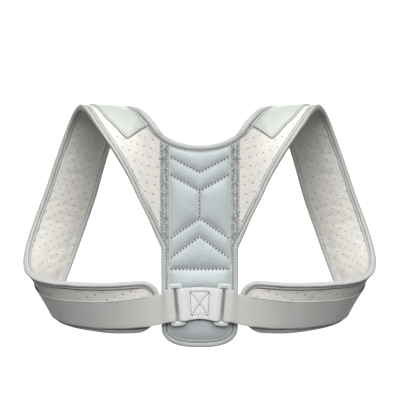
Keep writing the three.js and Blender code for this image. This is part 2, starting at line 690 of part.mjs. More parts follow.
// Side webbing: from its free end on the strap's front, along the pad to the ring, round the bar and back
function routeRow(section, layer) {
  const { shift, rise } = tableRow(WEBBING_ROUTE, 'section', section, ['shift', 'rise']);
  const width = acrossAt(section).length();
  const middle = 0.5 + shift * STRAP_WIDTH / width;
  const clothLift = Math.max(BINDING_OUTER, CLOTH_HALF + STRAP_PUFF);
  const seated = clothLift + WEBBING_SEAT + WEBBING_THICKNESS + GAP / 2;
  const lift = mix(seated, PANEL_Y - WAIST_Y, rise) + layer * (WEBBING_HALF + GAP / 2);
  const edge = (side) => {
    const share = middle + side * WEBBING_WIDTH / 2 / width;
    return surfacePoint(section, share).addScaledVector(surfaceNormal(section, share), lift);
  };
  const low = edge(-1);
  const high = edge(1);
  return {
    point: low.clone().add(high).multiplyScalar(0.5),
    across: high.sub(low).normalize(),
    normal: surfaceNormal(section, middle),
  };
}

function barRow(along, depth, angle) {
  const bar = -(RING_SPACING / 2 + BAR_OFFSET);
  const low = waistPoint(bar + along, -1, depth);
  const high = waistPoint(bar + along, 1, depth);
  const across = high.clone().sub(low).normalize();
  const inward = new THREE.Vector3(across.z, 0, -across.x);
  return {
    point: low.add(high).multiplyScalar(0.5),
    across,
    normal: towardBack.clone().multiplyScalar(Math.cos(angle)).addScaledVector(inward, Math.sin(angle)),
  };
}

// Outer layer: section numbers along the strap, with its layer, -1 on the cloth and 1 over the returning end
const FOLD_START = 20;
const FOLD_END = 21;
const LOOP_NECK = 0.85;

function sideStrapGeometry() {
  const rows = [];
  for (let section = WEBBING_ROUTE[0].section; section <= SECTION_SPANS; section += 1 / ROWS_PER_SPAN) {
    rows.push(routeRow(section, mix(-1, 1, ease(section, FOLD_START, FOLD_END))));
  }
  rows.push(barRow(-RING_BAR, LOOP_RADIUS_Y * LOOP_NECK, 0));
  for (let step = 0; step <= LOOP_STEPS; step += 1) {
    const angle = step / LOOP_STEPS * Math.PI;
    rows.push(barRow(LOOP_RADIUS_X * Math.sin(angle), LOOP_RADIUS_Y * Math.cos(angle), angle));
  }
  rows.push(barRow(-RING_BAR, -LOOP_RADIUS_Y * LOOP_NECK, Math.PI));
  const returnSections = [SECTION_SPANS, SECTION_SPANS - 1 / ROWS_PER_SPAN, sectionBeforeEnd(RETURN_LENGTH)];
  for (const section of returnSections) {
    const row = routeRow(section, -1);
    row.normal.negate();
    rows.push(row);
  }
  const flat = [
    [-WEBBING_WIDTH / 2, -WEBBING_HALF],
    [WEBBING_WIDTH / 2, -WEBBING_HALF],
    [WEBBING_WIDTH / 2, WEBBING_HALF],
    [-WEBBING_WIDTH / 2, WEBBING_HALF],
  ];
  const loops = rows.map((row) => flat.map(([width, lift]) => (
    row.point.clone().addScaledVector(row.across, width).addScaledVector(row.normal, lift))));
  return skin(loops, sectionCap(flat));
}

// The other side's copy of a left piece
function mirrored(geometry) {
  const copy = geometry.clone();
  copy.scale(-1, 1, 1);
  return closedGeometry(Array.from(copy.attributes.position.array), Array.from(copy.index.array));
}

const corrector = new THREE.Group();

function addMesh(name, geometry, meshMaterial) {
  const mesh = new THREE.Mesh(geometry, meshMaterial.clone());
  mesh.name = name;
  corrector.add(mesh);
  return mesh;
}

function addPair(name, geometry, meshMaterial) {
  addMesh(`${name}_left`, geometry, meshMaterial);
  addMesh(`${name}_right`, mirrored(geometry), meshMaterial);
}

addMesh('back_panel', baseGeometry(), perforatedCloth);
addMesh('quilted_panel', quiltGeometry(), quiltedLeather);
addPair('shoulder_pad', strapGeometry(), perforatedCloth);
addPair('edge_binding', bindingGeometry(), bindingTape);
addPair('seam_tape', tapeGeometry(), seamTape);
addPair('shoulder_patch', patchGeometry(), patchCloth);
addPair('side_strap', sideStrapGeometry(), webbing);
addMesh('center_webbing', centerGeometry(), webbing);

for (const [name, side] of [['ring_left', -1], ['ring_right', 1]]) {
  const ring = addMesh(name, ringGeometry(), ringPlastic);
  const along = side * RING_SPACING / 2;
  ring.position.copy(waistPoint(along, 0, 0));
  ring.rotation.y = side * WAIST_BEND;
}

export default corrector;
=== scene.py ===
"""Posture corrector in its worn form, dressed around its CAD frame.

Lengths are in millimetres and become metres where a mesh is made. +X is the wearer's right, +Y the wearer's front
and +Z up. The left side is built and the right side is its mirror image.
"""
import logging
import math
from dataclasses import dataclass
from enum import Enum
from functools import partial
from typing import Callable

import bpy
import numpy as np
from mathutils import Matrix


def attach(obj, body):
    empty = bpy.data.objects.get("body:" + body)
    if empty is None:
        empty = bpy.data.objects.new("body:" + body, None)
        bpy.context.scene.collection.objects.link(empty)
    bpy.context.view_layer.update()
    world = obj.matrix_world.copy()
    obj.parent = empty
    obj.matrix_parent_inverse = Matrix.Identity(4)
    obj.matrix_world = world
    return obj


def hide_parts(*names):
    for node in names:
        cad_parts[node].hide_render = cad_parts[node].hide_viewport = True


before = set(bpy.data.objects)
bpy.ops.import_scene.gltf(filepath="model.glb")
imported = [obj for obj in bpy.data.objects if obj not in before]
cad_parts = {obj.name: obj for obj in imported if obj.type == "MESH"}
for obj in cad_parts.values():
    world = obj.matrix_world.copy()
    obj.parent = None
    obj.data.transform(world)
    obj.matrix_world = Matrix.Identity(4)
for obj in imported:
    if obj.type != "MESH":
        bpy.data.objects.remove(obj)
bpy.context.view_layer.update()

Array = np.ndarray
Lines = list[tuple[Array, Array]]
Socket = bpy.types.NodeSocket
Adder = Callable[..., Socket]
Detail = tuple[Socket, Socket]
MM = 0.001
SHARP_ANGLE = math.radians(55)
LOG = logging.getLogger("posture_corrector")

# Worn form and sizes, as in the CAD source
LOOP_REACH, LOOP_DEPTH, LOOP_DROP = 155.0, 150.0, 236.0
BASE_HALF, BASE_HEIGHT = 46.2, 246.0
COLLAR_Z, COLLAR_ROUNDNESS = -35.0, 2.3
TAIL_HEIGHT, TAIL_ROUNDNESS = 27.0, 2.6
STRAP_WIDTH, CLOTH_HALF, STRAP_PUFF = 65.0, 2.5, 1.4
PUFF_START, PUFF_RISE = 8.0, 20.0
PAD_END_RADIUS, PAD_END_SETBACK = 26.0, 2.5
BINDING_WIDTH, BINDING_LIFT, CLOTH_SETBACK = 7.2, 3.8, 1.3
BINDING_REACH = 7.5
TAPE_WIDTH, TAPE_THICKNESS = 10.0, 0.8
QUILT_HALF, QUILT_SEAM_THICKNESS, QUILT_PUFF = 37.2, 1.2, 4.8
WEBBING_WIDTH, WEBBING_THICKNESS = 39.0, 1.4
RING_WIDTH, RING_HEIGHT, RING_THICKNESS = 17.5, 52.0, 3.0
RING_BAR, RING_END_BAR, RING_CORNER, RING_HOLE_CORNER = 4.2, 5.6, 3.8, 1.6
RING_SPACING, WAIST_DROP, WAIST_BEND = 55.5, 225.0, math.radians(5.2)
RETURN_LENGTH, CENTER_LOOP_TAPER = 24.0, 9.0
GAP, BAR_CLEARANCE, WEBBING_SEAT = 0.3, 0.55, 0.9
PANEL_Y = -LOOP_DEPTH / 2
TAIL_Z = COLLAR_Z - BASE_HEIGHT
TAIL_TOP = TAIL_Z + TAIL_HEIGHT
QUILT_BACK_Y = PANEL_Y - CLOTH_HALF - GAP
WEBBING_HALF = WEBBING_THICKNESS / 2
LOOP_RADIUS_X = RING_BAR / 2 + BAR_CLEARANCE + WEBBING_HALF
LOOP_RADIUS_Y = RING_THICKNESS / 2 + BAR_CLEARANCE + WEBBING_HALF
BAR_OFFSET = (RING_WIDTH - RING_BAR) / 2
BAR_PLACE = RING_SPACING / 2 - BAR_OFFSET
BEND_REACH = BAR_PLACE - LOOP_RADIUS_X - WEBBING_THICKNESS
BEND_RADIUS = BEND_REACH / WAIST_BEND
WAIST_Y = QUILT_BACK_Y - QUILT_SEAM_THICKNESS - QUILT_PUFF - GAP - LOOP_RADIUS_Y - WEBBING_HALF

# The left strap's sections: out, deep and down as shares of the loop, width as a share of the strap's width, and
# tilt and lean of the line across it in degrees
STRAP_SECTIONS = np.array([
    (-0.01, 0, 0.382, 2.07, -88, 0),
    (0.034, 0.001, 0.336, 2, -88.5, -0.2),
    (0.077, 0.01, 0.281, 1.78, -86.5, -1.8),
    (0.129, 0.033, 0.222, 1.52, -82, -5),
    (0.192, 0.077, 0.15, 1.22, -74, -12.5),
    (0.27, 0.153, 0.079, 0.98, -54, -24),
    (0.352, 0.28, 0.028, 0.89, -22, -26),
    (0.432, 0.473, -0.007, 0.9, 0, -9),
    (0.491, 0.69, 0.009, 0.93, 3, -6),
    (0.55, 0.865, 0.075, 0.96, 2.5, -8.5),
    (0.615, 0.952, 0.183, 0.98, 2.5, -13),
    (0.686, 0.985, 0.321, 1.01, 4.5, -16.5),
    (0.771, 0.987, 0.5, 1.045, 9, -19.5),
    (0.861, 0.95, 0.664, 1.07, 15.5, -24),
    (0.931, 0.865, 0.8, 1.085, 26.5, -29),
    (0.972, 0.735, 0.899, 1.105, 43, -33),
    (0.967, 0.56, 0.961, 1.11, 60, -34.5),
    (0.885, 0.382, 0.99, 1.09, 75, -33),
    (0.728, 0.23, 0.997, 1.075, 85.5, -29),
    (0.55, 0.137, 0.999, 1.07, 91, -24.5),
    (0.378, 0.08, 0.998, 1.065, 93, -19),
    (0.201, 0.035, 0.988, 1.04, 93.5, -12),
    (0, 0, 0.973, 0.99, 93.5, -5),
])
# Each quilt seam's drop at its middle and at its ends, as shares of the base's height, from the collar down
QUILT_SEAMS = ((0.13, 0.05), (0.221, 0.136), (0.356, 0.46), (0.445, 0.558), (0.606, 0.606))
SPLIT_BAND = 2
# The patch's rows from its front end: section and share across of its near side, middle and far side
PATCH_ROWS = np.array([
    (9, 0.13, 9, 0.46, 9, 0.8),
    (8, 0.13, 8, 0.46, 8, 0.79),
    (7, 0.13, 7, 0.45, 7, 0.77),
    (6, 0.13, 6.12, 0.43, 6.2, 0.74),
    (5, 0.11, 5.4, 0.39, 5.6, 0.69),
    (3.9, 0.09, 4.75, 0.35, 5.1, 0.66),
    (2.8, 0.07, 3.95, 0.3, 4.6, 0.61),
])
# The side webbing's section, shift toward the arm hole and share of its way out to the ring
WEBBING_ROUTE = np.array([
    (14.5, -0.13, 0), (17, -0.14, 0), (19, -0.12, 0), (20, -0.1, 0),
    (21, -0.075, 0.08), (21.5, -0.06, 0.25), (22, -0.04, 0.5),
])


def mix(low: Array, high: Array, share: Array) -> Array:
    """Value at a share of the way from low to high."""
    return low + (high - low) * share


def ease(value: Array, low: float, high: float) -> Array:
    """Smooth step from 0 at low to 1 at high."""
    share = np.clip((np.asarray(value, float) - low) / (high - low), 0, 1)
    return share * share * (3 - 2 * share)


def distances(points: Array) -> Array:
    """Distance of each point of a line from its first point, along the line."""
    return np.concatenate([[0], np.cumsum(np.linalg.norm(np.diff(points, axis=0), axis=1))])


def unit(vectors: Array) -> Array:
    """Vectors along the last axis scaled to length 1."""
    return vectors / np.maximum(np.linalg.norm(vectors, axis=-1, keepdims=True), 1e-12)


def linear(colour: str) -> tuple[float, float, float, float]:
    """Linear RGBA of an sRGB hex colour such as #E3DFDA."""
    parts = [int(colour[i:i + 2], 16) / 255 for i in (1, 3, 5)]
    turned = [p / 12.92 if p <= 0.04045 else ((p + 0.055) / 1.055) ** 2.4 for p in parts]
    return (*turned, 1.0)


def add_node(tree: bpy.types.NodeTree, kind: str, links: dict | None = None, out: int | str = 0,
             **settings) -> Socket | None:
    """Adds a node to a tree.

    Args:
        tree: the tree that gets the node.
        kind: the node's type name.
        links: input name or number, with a value or another node's output for it.
        out: name or number of the output that is wanted.
        settings: the node's own properties.

    Returns:
        That output, or None for a node without outputs.
    """
    made = tree.nodes.new(kind)
    for name, value in settings.items():
        setattr(made, name, value)
    for name, value in (links or {}).items():
        if isinstance(value, bpy.types.NodeSocket):
            tree.links.new(value, made.inputs[name])
        else:
            made.inputs[name].default_value = value
    return made.outputs[out] if made.outputs else None


class SmoothEdge:
    """Centripetal Catmull-Rom curve through points that are one section apart."""

    def __init__(self, points: Array) -> None:
        """Takes the points, and adds one beyond each end."""
        first, last = 2 * points[0] - points[1], 2 * points[-1] - points[-2]
        self.points = np.vstack([first, points, last])
        self.spans = len(points) - 1

    def at(self, section: Array) -> Array:
        """Points at section numbers."""
        section = np.clip(np.asarray(section, float), 0, self.spans)
        index = np.minimum(section.astype(int), self.spans - 1)
        t = (section - index)[..., None]
        a, b, c, d = (self.points[index + k] for k in range(4))
        ab, bc, cd = (np.sqrt(np.maximum(np.linalg.norm(q - p, axis=-1, keepdims=True), 1e-9))
                      for p, q in ((a, b), (b, c), (c, d)))
        start = ((b - a) / ab - (c - a) / (ab + bc) + (c - b) / bc) * bc
        end = ((c - b) / bc - (d - b) / (bc + cd) + (d - c) / cd) * bc
        return b + start * t + (3 * (c - b) - 2 * start - end) * t ** 2 + (2 * (b - c) + start + end) * t ** 3


class StrapSurface:
    """Sheet ruled between the strap's outer edge (share 0) and its arm-hole edge (share 1)."""

    STEP = 0.02
    SAMPLES = 40

    def __init__(self) -> None:
        """Builds both edges from the table of sections."""
        out, deep, down, width, tilt, lean = STRAP_SECTIONS.T
        tilt, lean = np.radians(tilt), np.radians(lean)
        middle = np.stack([-(BASE_HALF + out * LOOP_REACH), PANEL_Y + deep * LOOP_DEPTH, -down * LOOP_DROP], -1)
        across = np.stack([-np.cos(tilt) * np.cos(lean), np.sin(lean), np.sin(tilt) * np.cos(lean)], -1)
        half = (width * STRAP_WIDTH / 2)[:, None]
        self.outer = SmoothEdge(middle - across * half)
        self.arm = SmoothEdge(middle + across * half)
        self.spans = self.outer.spans
        self.sections = np.arange(self.spans * self.SAMPLES + 1) / self.SAMPLES
        self.lengths = distances(self.point(self.sections, 0.5))
        self.length = float(self.lengths[-1])

    def point(self, section: Array, share: Array) -> Array:
        """Points at section numbers and shares across."""
        return mix(self.outer.at(section), self.arm.at(section), np.asarray(share, float)[..., None])

    def across(self, section: Array) -> Array:
        """Vectors from the outer edge to the arm-hole edge."""
        return self.arm.at(section) - self.outer.at(section)

    def normal(self, section: Array, share: Array) -> Array:
        """Directions away from the wearer."""
        before = self.point(np.maximum(0, np.asarray(section) - self.STEP), share)
        after = self.point(np.minimum(self.spans, np.asarray(section) + self.STEP), share)
        return unit(np.cross(after - before, self.across(section)))

    def section_at(self, length: Array) -> Array:
        """Section numbers at lengths from the seam."""
        return np.interp(length, self.lengths, self.sections)

    def length_at(self, section: Array) -> Array:
        """Lengths from the seam at section numbers."""
        return np.interp(section, self.sections, self.lengths)


@dataclass
class Creases:
    """Soft short creases scattered over a piece's own flat chart, always the same ones for a seed.

    Attributes:
        seed: number that fixes the draw.
        low, high: corners of the chart's part that gets them.
        count: how many.
        heading: main direction in degrees from the chart's first axis, and its spread.
        length, width, depth: mean sizes of one.
    """

    seed: int
    low: tuple[float, float]
    high: tuple[float, float]
    count: int
    heading: tuple[float, float]
    length: float
    width: float
    depth: float

    def at(self, chart: Array) -> Array:
        """Height of the creased surface at chart points, most of it below zero."""
        draw = np.random.default_rng(self.seed)
        low, high = np.array(self.low), np.array(self.high)
        spots = low + (high - low) * draw.random((self.count, 2))
        angles = np.radians(self.heading[0] + self.heading[1] * draw.standard_normal(self.count))
        lengths = self.length * draw.uniform(0.5, 1.5, self.count)
        widths = self.width * draw.uniform(0.6, 1.5, self.count)
        depths = self.depth * draw.uniform(0.3, 1.3, self.count)
        height = np.zeros(chart.shape[:-1])
        for spot, angle, length, width, depth in zip(spots, angles, lengths, widths, depths):
            away = chart - spot
            along = (away[..., 0] * math.cos(angle) + away[..., 1] * math.sin(angle)) / length
            beside = (away[..., 1] * math.cos(angle) - away[..., 0] * math.sin(angle)) / width
            beside = beside + 0.35 * np.sin(2.2 * along)
            height += depth * (0.45 * beside ** 2 - 1) * np.exp(-beside ** 2 - along ** 2)
        return height


@dataclass
class Draft:
    """Mesh in the making.

    Attributes:
        points, faces: the mesh, in millimetres.
        chart: each point's place on the flat cloth.
        finish: number of each face's finish.
    """

    points: Array
    faces: list
    chart: Array
    finish: Array | None = None

    def mirrored(self) -> "Draft":
        """The other side's copy."""
        flip = np.array([-1, 1, 1])
        return Draft(self.points * flip, [f[::-1] for f in self.faces], self.chart, self.finish)

    def make(self, name: str, materials: list[bpy.types.Material], closed: bool = True) -> bpy.types.Object:
        """Makes the object, with its faces turned outward.

        Args:
            name: the piece's name.
            materials: its finishes.
            closed: whether it is a closed body, which is turned by its volume.

        Returns:
            The object, at the origin, with its place in its mesh.
        """
        faces = self.faces
        if closed and self.volume() < 0:
            faces = [f[::-1] for f in faces]
        mesh = bpy.data.meshes.new(name)
        mesh.from_pydata((self.points * MM).tolist(), [], faces)
        for material in materials:
            mesh.materials.append(material)
        layer = mesh.uv_layers.new(name="UVMap")
        corners = np.empty(len(mesh.loops), np.int32)
        mesh.loops.foreach_get("vertex_index", corners)
        layer.data.foreach_set("uv", (self.chart[corners] * MM).astype(np.float32).ravel())
        mesh.polygons.foreach_set("use_smooth", [True] * len(mesh.polygons))
        if self.finish is not None:
            mesh.polygons.foreach_set("material_index", np.asarray(self.finish, np.int32))
        mesh.set_sharp_from_angle(angle=SHARP_ANGLE)
        mesh.update()
        made = bpy.data.objects.new(name, mesh)
        bpy.context.scene.collection.objects.link(made)
        return made

    def volume(self) -> float:
        """Signed volume, six times over."""
        total = 0.0
        for face in self.faces:
            a = self.points[face[0]]
            for second, third in zip(face[1:-1], face[2:]):
                total += float(a @ np.cross(self.points[second], self.points[third]))
        return total


SIDES = (("left", -1), ("right", 1))


def on_side(draft: Draft, side: int) -> Draft:
    """The draft itself on the left, its mirror image on the right."""
    return draft if side < 0 else draft.mirrored()


def grid_faces(rows: int, columns: int, wrap: bool = False) -> list:
    """Faces of a grid of points in row order, joined round from the last column to the first when wrap is set."""
    faces = []
    for row in range(rows - 1):
        for column in range(columns if wrap else columns - 1):
            a, b = row * columns + column, row * columns + (column + 1) % columns
            faces.append([a, b, b + columns, a + columns])
    return faces


def shell(top: Array, bottom: Array, chart: Array) -> Draft:
    """Closed body between two grids of points, the bottom's faces with finish 1.

    Args:
        top: points of the upper sheet, rows by columns by 3.
        bottom: points of the lower sheet in the same order.
        chart: places on the flat cloth, rows by columns by 2.

    Returns:
        The draft.
    """
    rows, columns = top.shape[:2]
    size = rows * columns
    upper = grid_faces(rows, columns)
    lower = [[size + i for i in face[::-1]] for face in upper]
    edge = [*range(columns), *range(2 * columns - 1, size, columns),
            *range(size - 2, size - columns - 1, -1), *range(size - 2 * columns, 0, -columns)]
    walls = [[edge[i], edge[i - 1], edge[i - 1] + size, edge[i] + size] for i in range(len(edge))]
    points = np.concatenate([top.reshape(-1, 3), bottom.reshape(-1, 3)])
    finish = np.array([0] * len(upper) + [1] * len(lower) + [0] * len(walls))
    flat = chart.reshape(-1, 2)
    return Draft(points, [*upper, *lower, *walls], np.concatenate([flat, flat]), finish)


def tube(loops: Array, chart: Array, capped: bool = True) -> Draft:
    """Body skinned over loops of points, rows by points of a loop by 3, with flat ends or joined end to start."""
    rows, size = loops.shape[:2]
    faces = grid_faces(rows, size, wrap=True)
    last = (rows - 1) * size
    if capped:
        faces += [list(range(size))[::-1], [last + i for i in range(size)]]
    else:
        faces += [[last + i, last + (i + 1) % size, (i + 1) % size, i] for i in range(size)]
    return Draft(loops.reshape(-1, 3), faces, chart.reshape(-1, 2))


def frames_along(low: Array, high: Array) -> tuple[Array, Array, Array]:
    """Middle points, directions across and normals of a band between two edges."""
    middle = (low + high) / 2
    across = unit(high - low)
    normal = unit(np.cross(np.gradient(middle, axis=0), across))
    return middle, across, normal


class Pattern(Enum):
    """What a finish's surface detail is made of."""

    KNIT = "fine knit with punched dimples"
    LINING = "brushed knit lining with punched dimples"
    LEATHER = "embossed grain of artificial leather"
    TAPE = "ribbed woven tape"
    TERRY = "looped grainy tape"
    WEBBING = "flat woven webbing"
    PLASTIC = "moulded plastic"
    FLECK = "fine fleck of thread, shaded holes and paper"


@dataclass(frozen=True)
class Finish:
    """One material of the corrector.

    Attributes:
        name: the real material's name.
        pattern: its surface detail.
        colour, second: main colour, and the one that it varies to, as sRGB hex.
        roughness: of the shader.
        bump: height of the detail in millimetres.
        sheen: weight of the shader's sheen.
        coat: weight of the shader's clear coat.
        slot: name of a material slot, not used.
        ior: of the fibre or plastic.
    """

    name: str
    pattern: Pattern
    colour: str
    second: str
    roughness: float
    bump: float
    sheen: float = 0.0
    coat: float = 0.0
    slot: str = ""
    ior: float = 1.46

    def build(self) -> bpy.types.Material:
        """Makes the material, with its colour and bump from procedural nodes."""
        made = bpy.data.materials.new(self.name)
        made.use_nodes = True
        shader = made.node_tree.nodes["Principled BSDF"]
        for name, value in (("Roughness", self.roughness), ("IOR", self.ior), ("Sheen Weight", self.sheen),
                            ("Sheen Roughness", 0.5), ("Coat Weight", self.coat), ("Coat Roughness", 0.25)):
            shader.inputs[name].default_value = value
        add = partial(add_node, made.node_tree)
        place = add("ShaderNodeTexCoord").node.outputs
        height, tint = PATTERN_NODES[self.pattern](add, place["UV"], place["Object"])
        colour = add("ShaderNodeMix", {0: tint, 6: linear(self.colour), 7: linear(self.second)}, 2,
                     data_type="RGBA")
        bump = add("ShaderNodeBump", {"Height": height, "Distance": self.bump * MM, "Strength": 1.0})
        made.node_tree.links.new(colour, shader.inputs["Base Color"])
        made.node_tree.links.new(bump, shader.inputs["Normal"])
        return made


def per_mm(size: float) -> float:
    """Scale of a pattern whose cells have a size in millimetres."""
    return 1 / (size * MM)


@dataclass(frozen=True)
class Perforation:
    """Square lattice of punched holes in one cloth.

    Attributes:
        pitch: distance between holes, in millimetres.
        turn: the lattice's turn on the flat cloth, in degrees.
        hole: radius of a hole, in millimetres.
        dimple: radius of the dimple round it, in millimetres.
    """

    pitch: float
    turn: float
    hole: float
    dimple: float


KNIT_HOLES = Perforation(pitch=10.8, turn=-10.5, hole=0.58, dimple=1.9)
LINING_HOLES = Perforation(pitch=9.6, turn=7.5, hole=0.48, dimple=1.5)


def perforated_nodes(add: Adder, surface: Socket, solid: Socket, holes: Perforation) -> Detail:
    """Height and tint of a fine knit with a dimple round each punched hole, and painted shade that darkens the
    cloth toward each hole.

    Args:
        add: adds a node to the material's tree.
        surface, solid: coordinates on the flat cloth, and in space.
        holes: the lattice of holes.

    Returns:
        Outputs for the height and the tint.
    """
    turned = add("ShaderNodeMapping", {"Vector": surface, "Rotation": (0, 0, -math.radians(holes.turn))})
    cells = add("ShaderNodeVectorMath", {0: turned, 1: [per_mm(holes.pitch)] * 3}, operation="MULTIPLY")
    part = add("ShaderNodeVectorMath", {0: cells}, operation="FRACTION")
    centred = add("ShaderNodeVectorMath", {0: part, 1: (0.5, 0.5, 0)}, operation="SUBTRACT")
    flat = add("ShaderNodeVectorMath", {0: centred, 1: (1, 1, 0)}, operation="MULTIPLY")
    away = add("ShaderNodeVectorMath", {0: flat}, "Value", operation="LENGTH")
    dimple = add("ShaderNodeMapRange", {"Value": away, "From Min": 0.02, "From Max": holes.dimple / holes.pitch},
                 interpolation_type="SMOOTHSTEP")
    # Loops of the knit, about 0.8 mm apart, on a cloth that is uneven over about 9 mm
    loops = add("ShaderNodeTexVoronoi", {"Vector": surface, "Scale": per_mm(0.8)}, "Distance",
                feature="SMOOTH_F1")
    uneven = add("ShaderNodeTexNoise", {"Vector": surface, "Scale": per_mm(9), "Detail": 3.0})
    soft = add("ShaderNodeMath", {0: uneven, 1: 1.2, 2: dimple}, operation="MULTIPLY_ADD")
    height = add("ShaderNodeMath", {0: loops, 1: 0.22, 2: soft}, operation="MULTIPLY_ADD")
    flecked = add("ShaderNodeMath", {0: uneven, 1: 0.3, 2: 0.35}, operation="MULTIPLY_ADD")
    # The tint darkens toward each hole: painted shade in its dimple, over random flecks of the cloth
    return height, add("ShaderNodeMath", {0: dimple, 1: -0.35, 2: flecked}, operation="MULTIPLY_ADD")


def leather_nodes(add: Adder, surface: Socket, solid: Socket) -> Detail:
    """Height and tint of embossed grain: pebbles about 1.1 mm wide, and finer wrinkles over them."""
    pebbles = add("ShaderNodeTexVoronoi", {"Vector": surface, "Scale": per_mm(1.1)}, "Distance",
                  feature="SMOOTH_F1")
    wide = add("ShaderNodeVectorMath", {0: surface, 1: (1, 5 / 3.5, 1)}, operation="MULTIPLY")
    creases = add("ShaderNodeTexNoise", {"Vector": wide, "Scale": per_mm(5), "Detail": 5.0, "Distortion": 0.8})
    height = add("ShaderNodeMath", {0: pebbles, 1: -0.35, 2: creases}, operation="MULTIPLY_ADD")
    return height, add("ShaderNodeTexNoise", {"Vector": surface, "Scale": per_mm(22), "Detail": 2.0})


def tape_nodes(add: Adder, surface: Socket, solid: Socket) -> Detail:
    """Height and tint of a woven tape with ribs across it, 0.7 mm apart."""
    ribs = add("ShaderNodeTexWave", {"Vector": surface, "Scale": per_mm(2.2), "Distortion": 0.6, "Detail": 1.0},
               "Fac", bands_direction="X")
    along = add("ShaderNodeVectorMath", {0: surface, 1: (1 / 1.1, 1 / 0.6, 1)}, operation="MULTIPLY")
    fuzz = add("ShaderNodeTexNoise", {"Vector": along, "Scale": per_mm(2), "Detail": 4.0})
    return add("ShaderNodeMath", {0: ribs, 1: 0.6, 2: fuzz}, operation="MULTIPLY_ADD"), fuzz


def terry_nodes(add: Adder, surface: Socket, solid: Socket) -> Detail:
    """Height and tint of a grainy looped tape, with grains about 2 mm wide and painted shade in the dips between
    them.
    """
    grains = add("ShaderNodeTexVoronoi", {"Vector": surface, "Scale": per_mm(2.1)}, "Distance", feature="F1")
    patchy = add("ShaderNodeTexNoise", {"Vector": surface, "Scale": per_mm(2.4), "Detail": 3.0})
    height = add("ShaderNodeMath", {0: grains, 1: -0.8, 2: patchy}, operation="MULTIPLY_ADD")
    # The tint darkens toward the grains' edges, where they dip: painted shade
    return height, add("ShaderNodeMath", {0: grains, 1: 1.1}, operation="MULTIPLY")


def webbing_nodes(add: Adder, surface: Socket, solid: Socket) -> Detail:
    """Height and tint of flat webbing: ribs along it 1 mm apart, crossed by slanting threads 1.2 mm apart, with
    painted shade where the weave is low.
    """
    ribs = add("ShaderNodeTexWave", {"Vector": surface, "Scale": per_mm(3.2), "Distortion": 0.3}, "Fac",
               bands_direction="Y")
    crossed = add("ShaderNodeTexWave", {"Vector": surface, "Scale": per_mm(2.6), "Distortion": 0.4}, "Fac",
                  bands_direction="DIAGONAL")
    streaks = add("ShaderNodeVectorMath", {0: surface, 1: (1, 13, 1)}, operation="MULTIPLY")
    fuzz = add("ShaderNodeTexNoise", {"Vector": streaks, "Scale": per_mm(26), "Detail": 4.0})
    threads = add("ShaderNodeMath", {0: crossed, 1: 0.5}, operation="MULTIPLY")
    height = add("ShaderNodeMath", {0: ribs, 1: 0.5, 2: threads}, operation="MULTIPLY_ADD")
    worn = add("ShaderNodeMath", {0: fuzz, 1: 0.5}, operation="MULTIPLY")
    # The tint is darker where the weave is low, as painted shade, with random streaks along the band
    return height, add("ShaderNodeMath", {0: height, 1: -0.25, 2: worn}, operation="MULTIPLY_ADD")


def fleck_nodes(add: Adder, surface: Socket, solid: Socket, size: float) -> Detail:
    """Height and tint of a surface that is faintly uneven over a size in millimetres."""
    return (add("ShaderNodeTexNoise", {"Vector": solid, "Scale": per_mm(size), "Detail": 2.0}),) * 2


PATTERN_NODES: dict[Pattern, Callable[..., Detail]] = {
    Pattern.KNIT: partial(perforated_nodes, holes=KNIT_HOLES),
    Pattern.LINING: partial(perforated_nodes, holes=LINING_HOLES),
    Pattern.LEATHER: leather_nodes,
    Pattern.TAPE: tape_nodes,
    Pattern.TERRY: terry_nodes,
    Pattern.WEBBING: webbing_nodes,
    Pattern.PLASTIC: partial(fleck_nodes, size=4.0),
    Pattern.FLECK: partial(fleck_nodes, size=1.5),
}

# Polyester knit laminated on foam: matt and pale, with a soft sheen at the turns
PERFORATED_KNIT = Finish("perforated_polyester_knit", Pattern.KNIT, "#E3E1DA", "#BFBBB3", 0.85, 0.45, 0.25,
                         slot="perforated_cloth")
# Brushed knit lining: a little darker and warmer than the outer knit
KNIT_LINING = Finish("brushed_knit_lining", Pattern.LINING, "#DBD9D2", "#B6B4AE", 0.95, 0.5, 0.3,
                     slot="perforated_cloth")
# Coated artificial leather: satin, cool pale grey with broad lights on the puffs
QUILT_LEATHER = Finish("embossed_artificial_leather", Pattern.LEATHER, "#C6CDCE", "#B3BBBC", 0.52, 0.3, 0.0, 0.06,
                       slot="quilted_leather")
# Polypropylene binding tape: matt ribs across a narrow fold
BINDING = Finish("ribbed_binding_tape", Pattern.TAPE, "#D1D4D0", "#B2B5B1", 0.8, 0.25, 0.1, slot="binding_tape")
# Looped elastic tape: rough and darker, with painted shade between its grains
SEAM_TERRY = Finish("looped_elastic_tape", Pattern.TERRY, "#D9DBD8", "#898C89", 0.95, 0.5, 0.1, slot="seam_tape")
# Smooth coated cloth of the shoulder patches
PATCH_CLOTH = Finish("smooth_coated_cloth", Pattern.LEATHER, "#CBD0CB", "#BCC1BC", 0.55, 0.15, 0.0,
                     slot="patch_cloth")
# Woven nylon webbing: satin threads with a light sheen
NYLON_WEBBING = Finish("woven_nylon_webbing", Pattern.WEBBING, "#D8D9D5", "#A9AAA4", 0.55, 0.3, slot="webbing")
# The same webbing where it lies double between the rings, painted lighter to stand for more light falling on it
LIT_DOUBLED_WEBBING = Finish("doubled_nylon_webbing_painted_light", Pattern.WEBBING, "#E6E8E7", "#CDCFCC", 0.38, 0.22, 0.0,
                         slot="webbing")
# Injection-moulded acetal: glossy, with a faint green-grey tone
ACETAL = Finish("moulded_acetal_plastic", Pattern.PLASTIC, "#CAD1CF", "#C4CCC9", 0.25, 0.04, 0.0, 0.2,
                slot="ring_plastic")
# Twisted polyester thread, darker than the cloth it sews
THREAD = Finish("twisted_polyester_thread", Pattern.FLECK, "#565B56", "#4C514D", 0.6, 0.05)
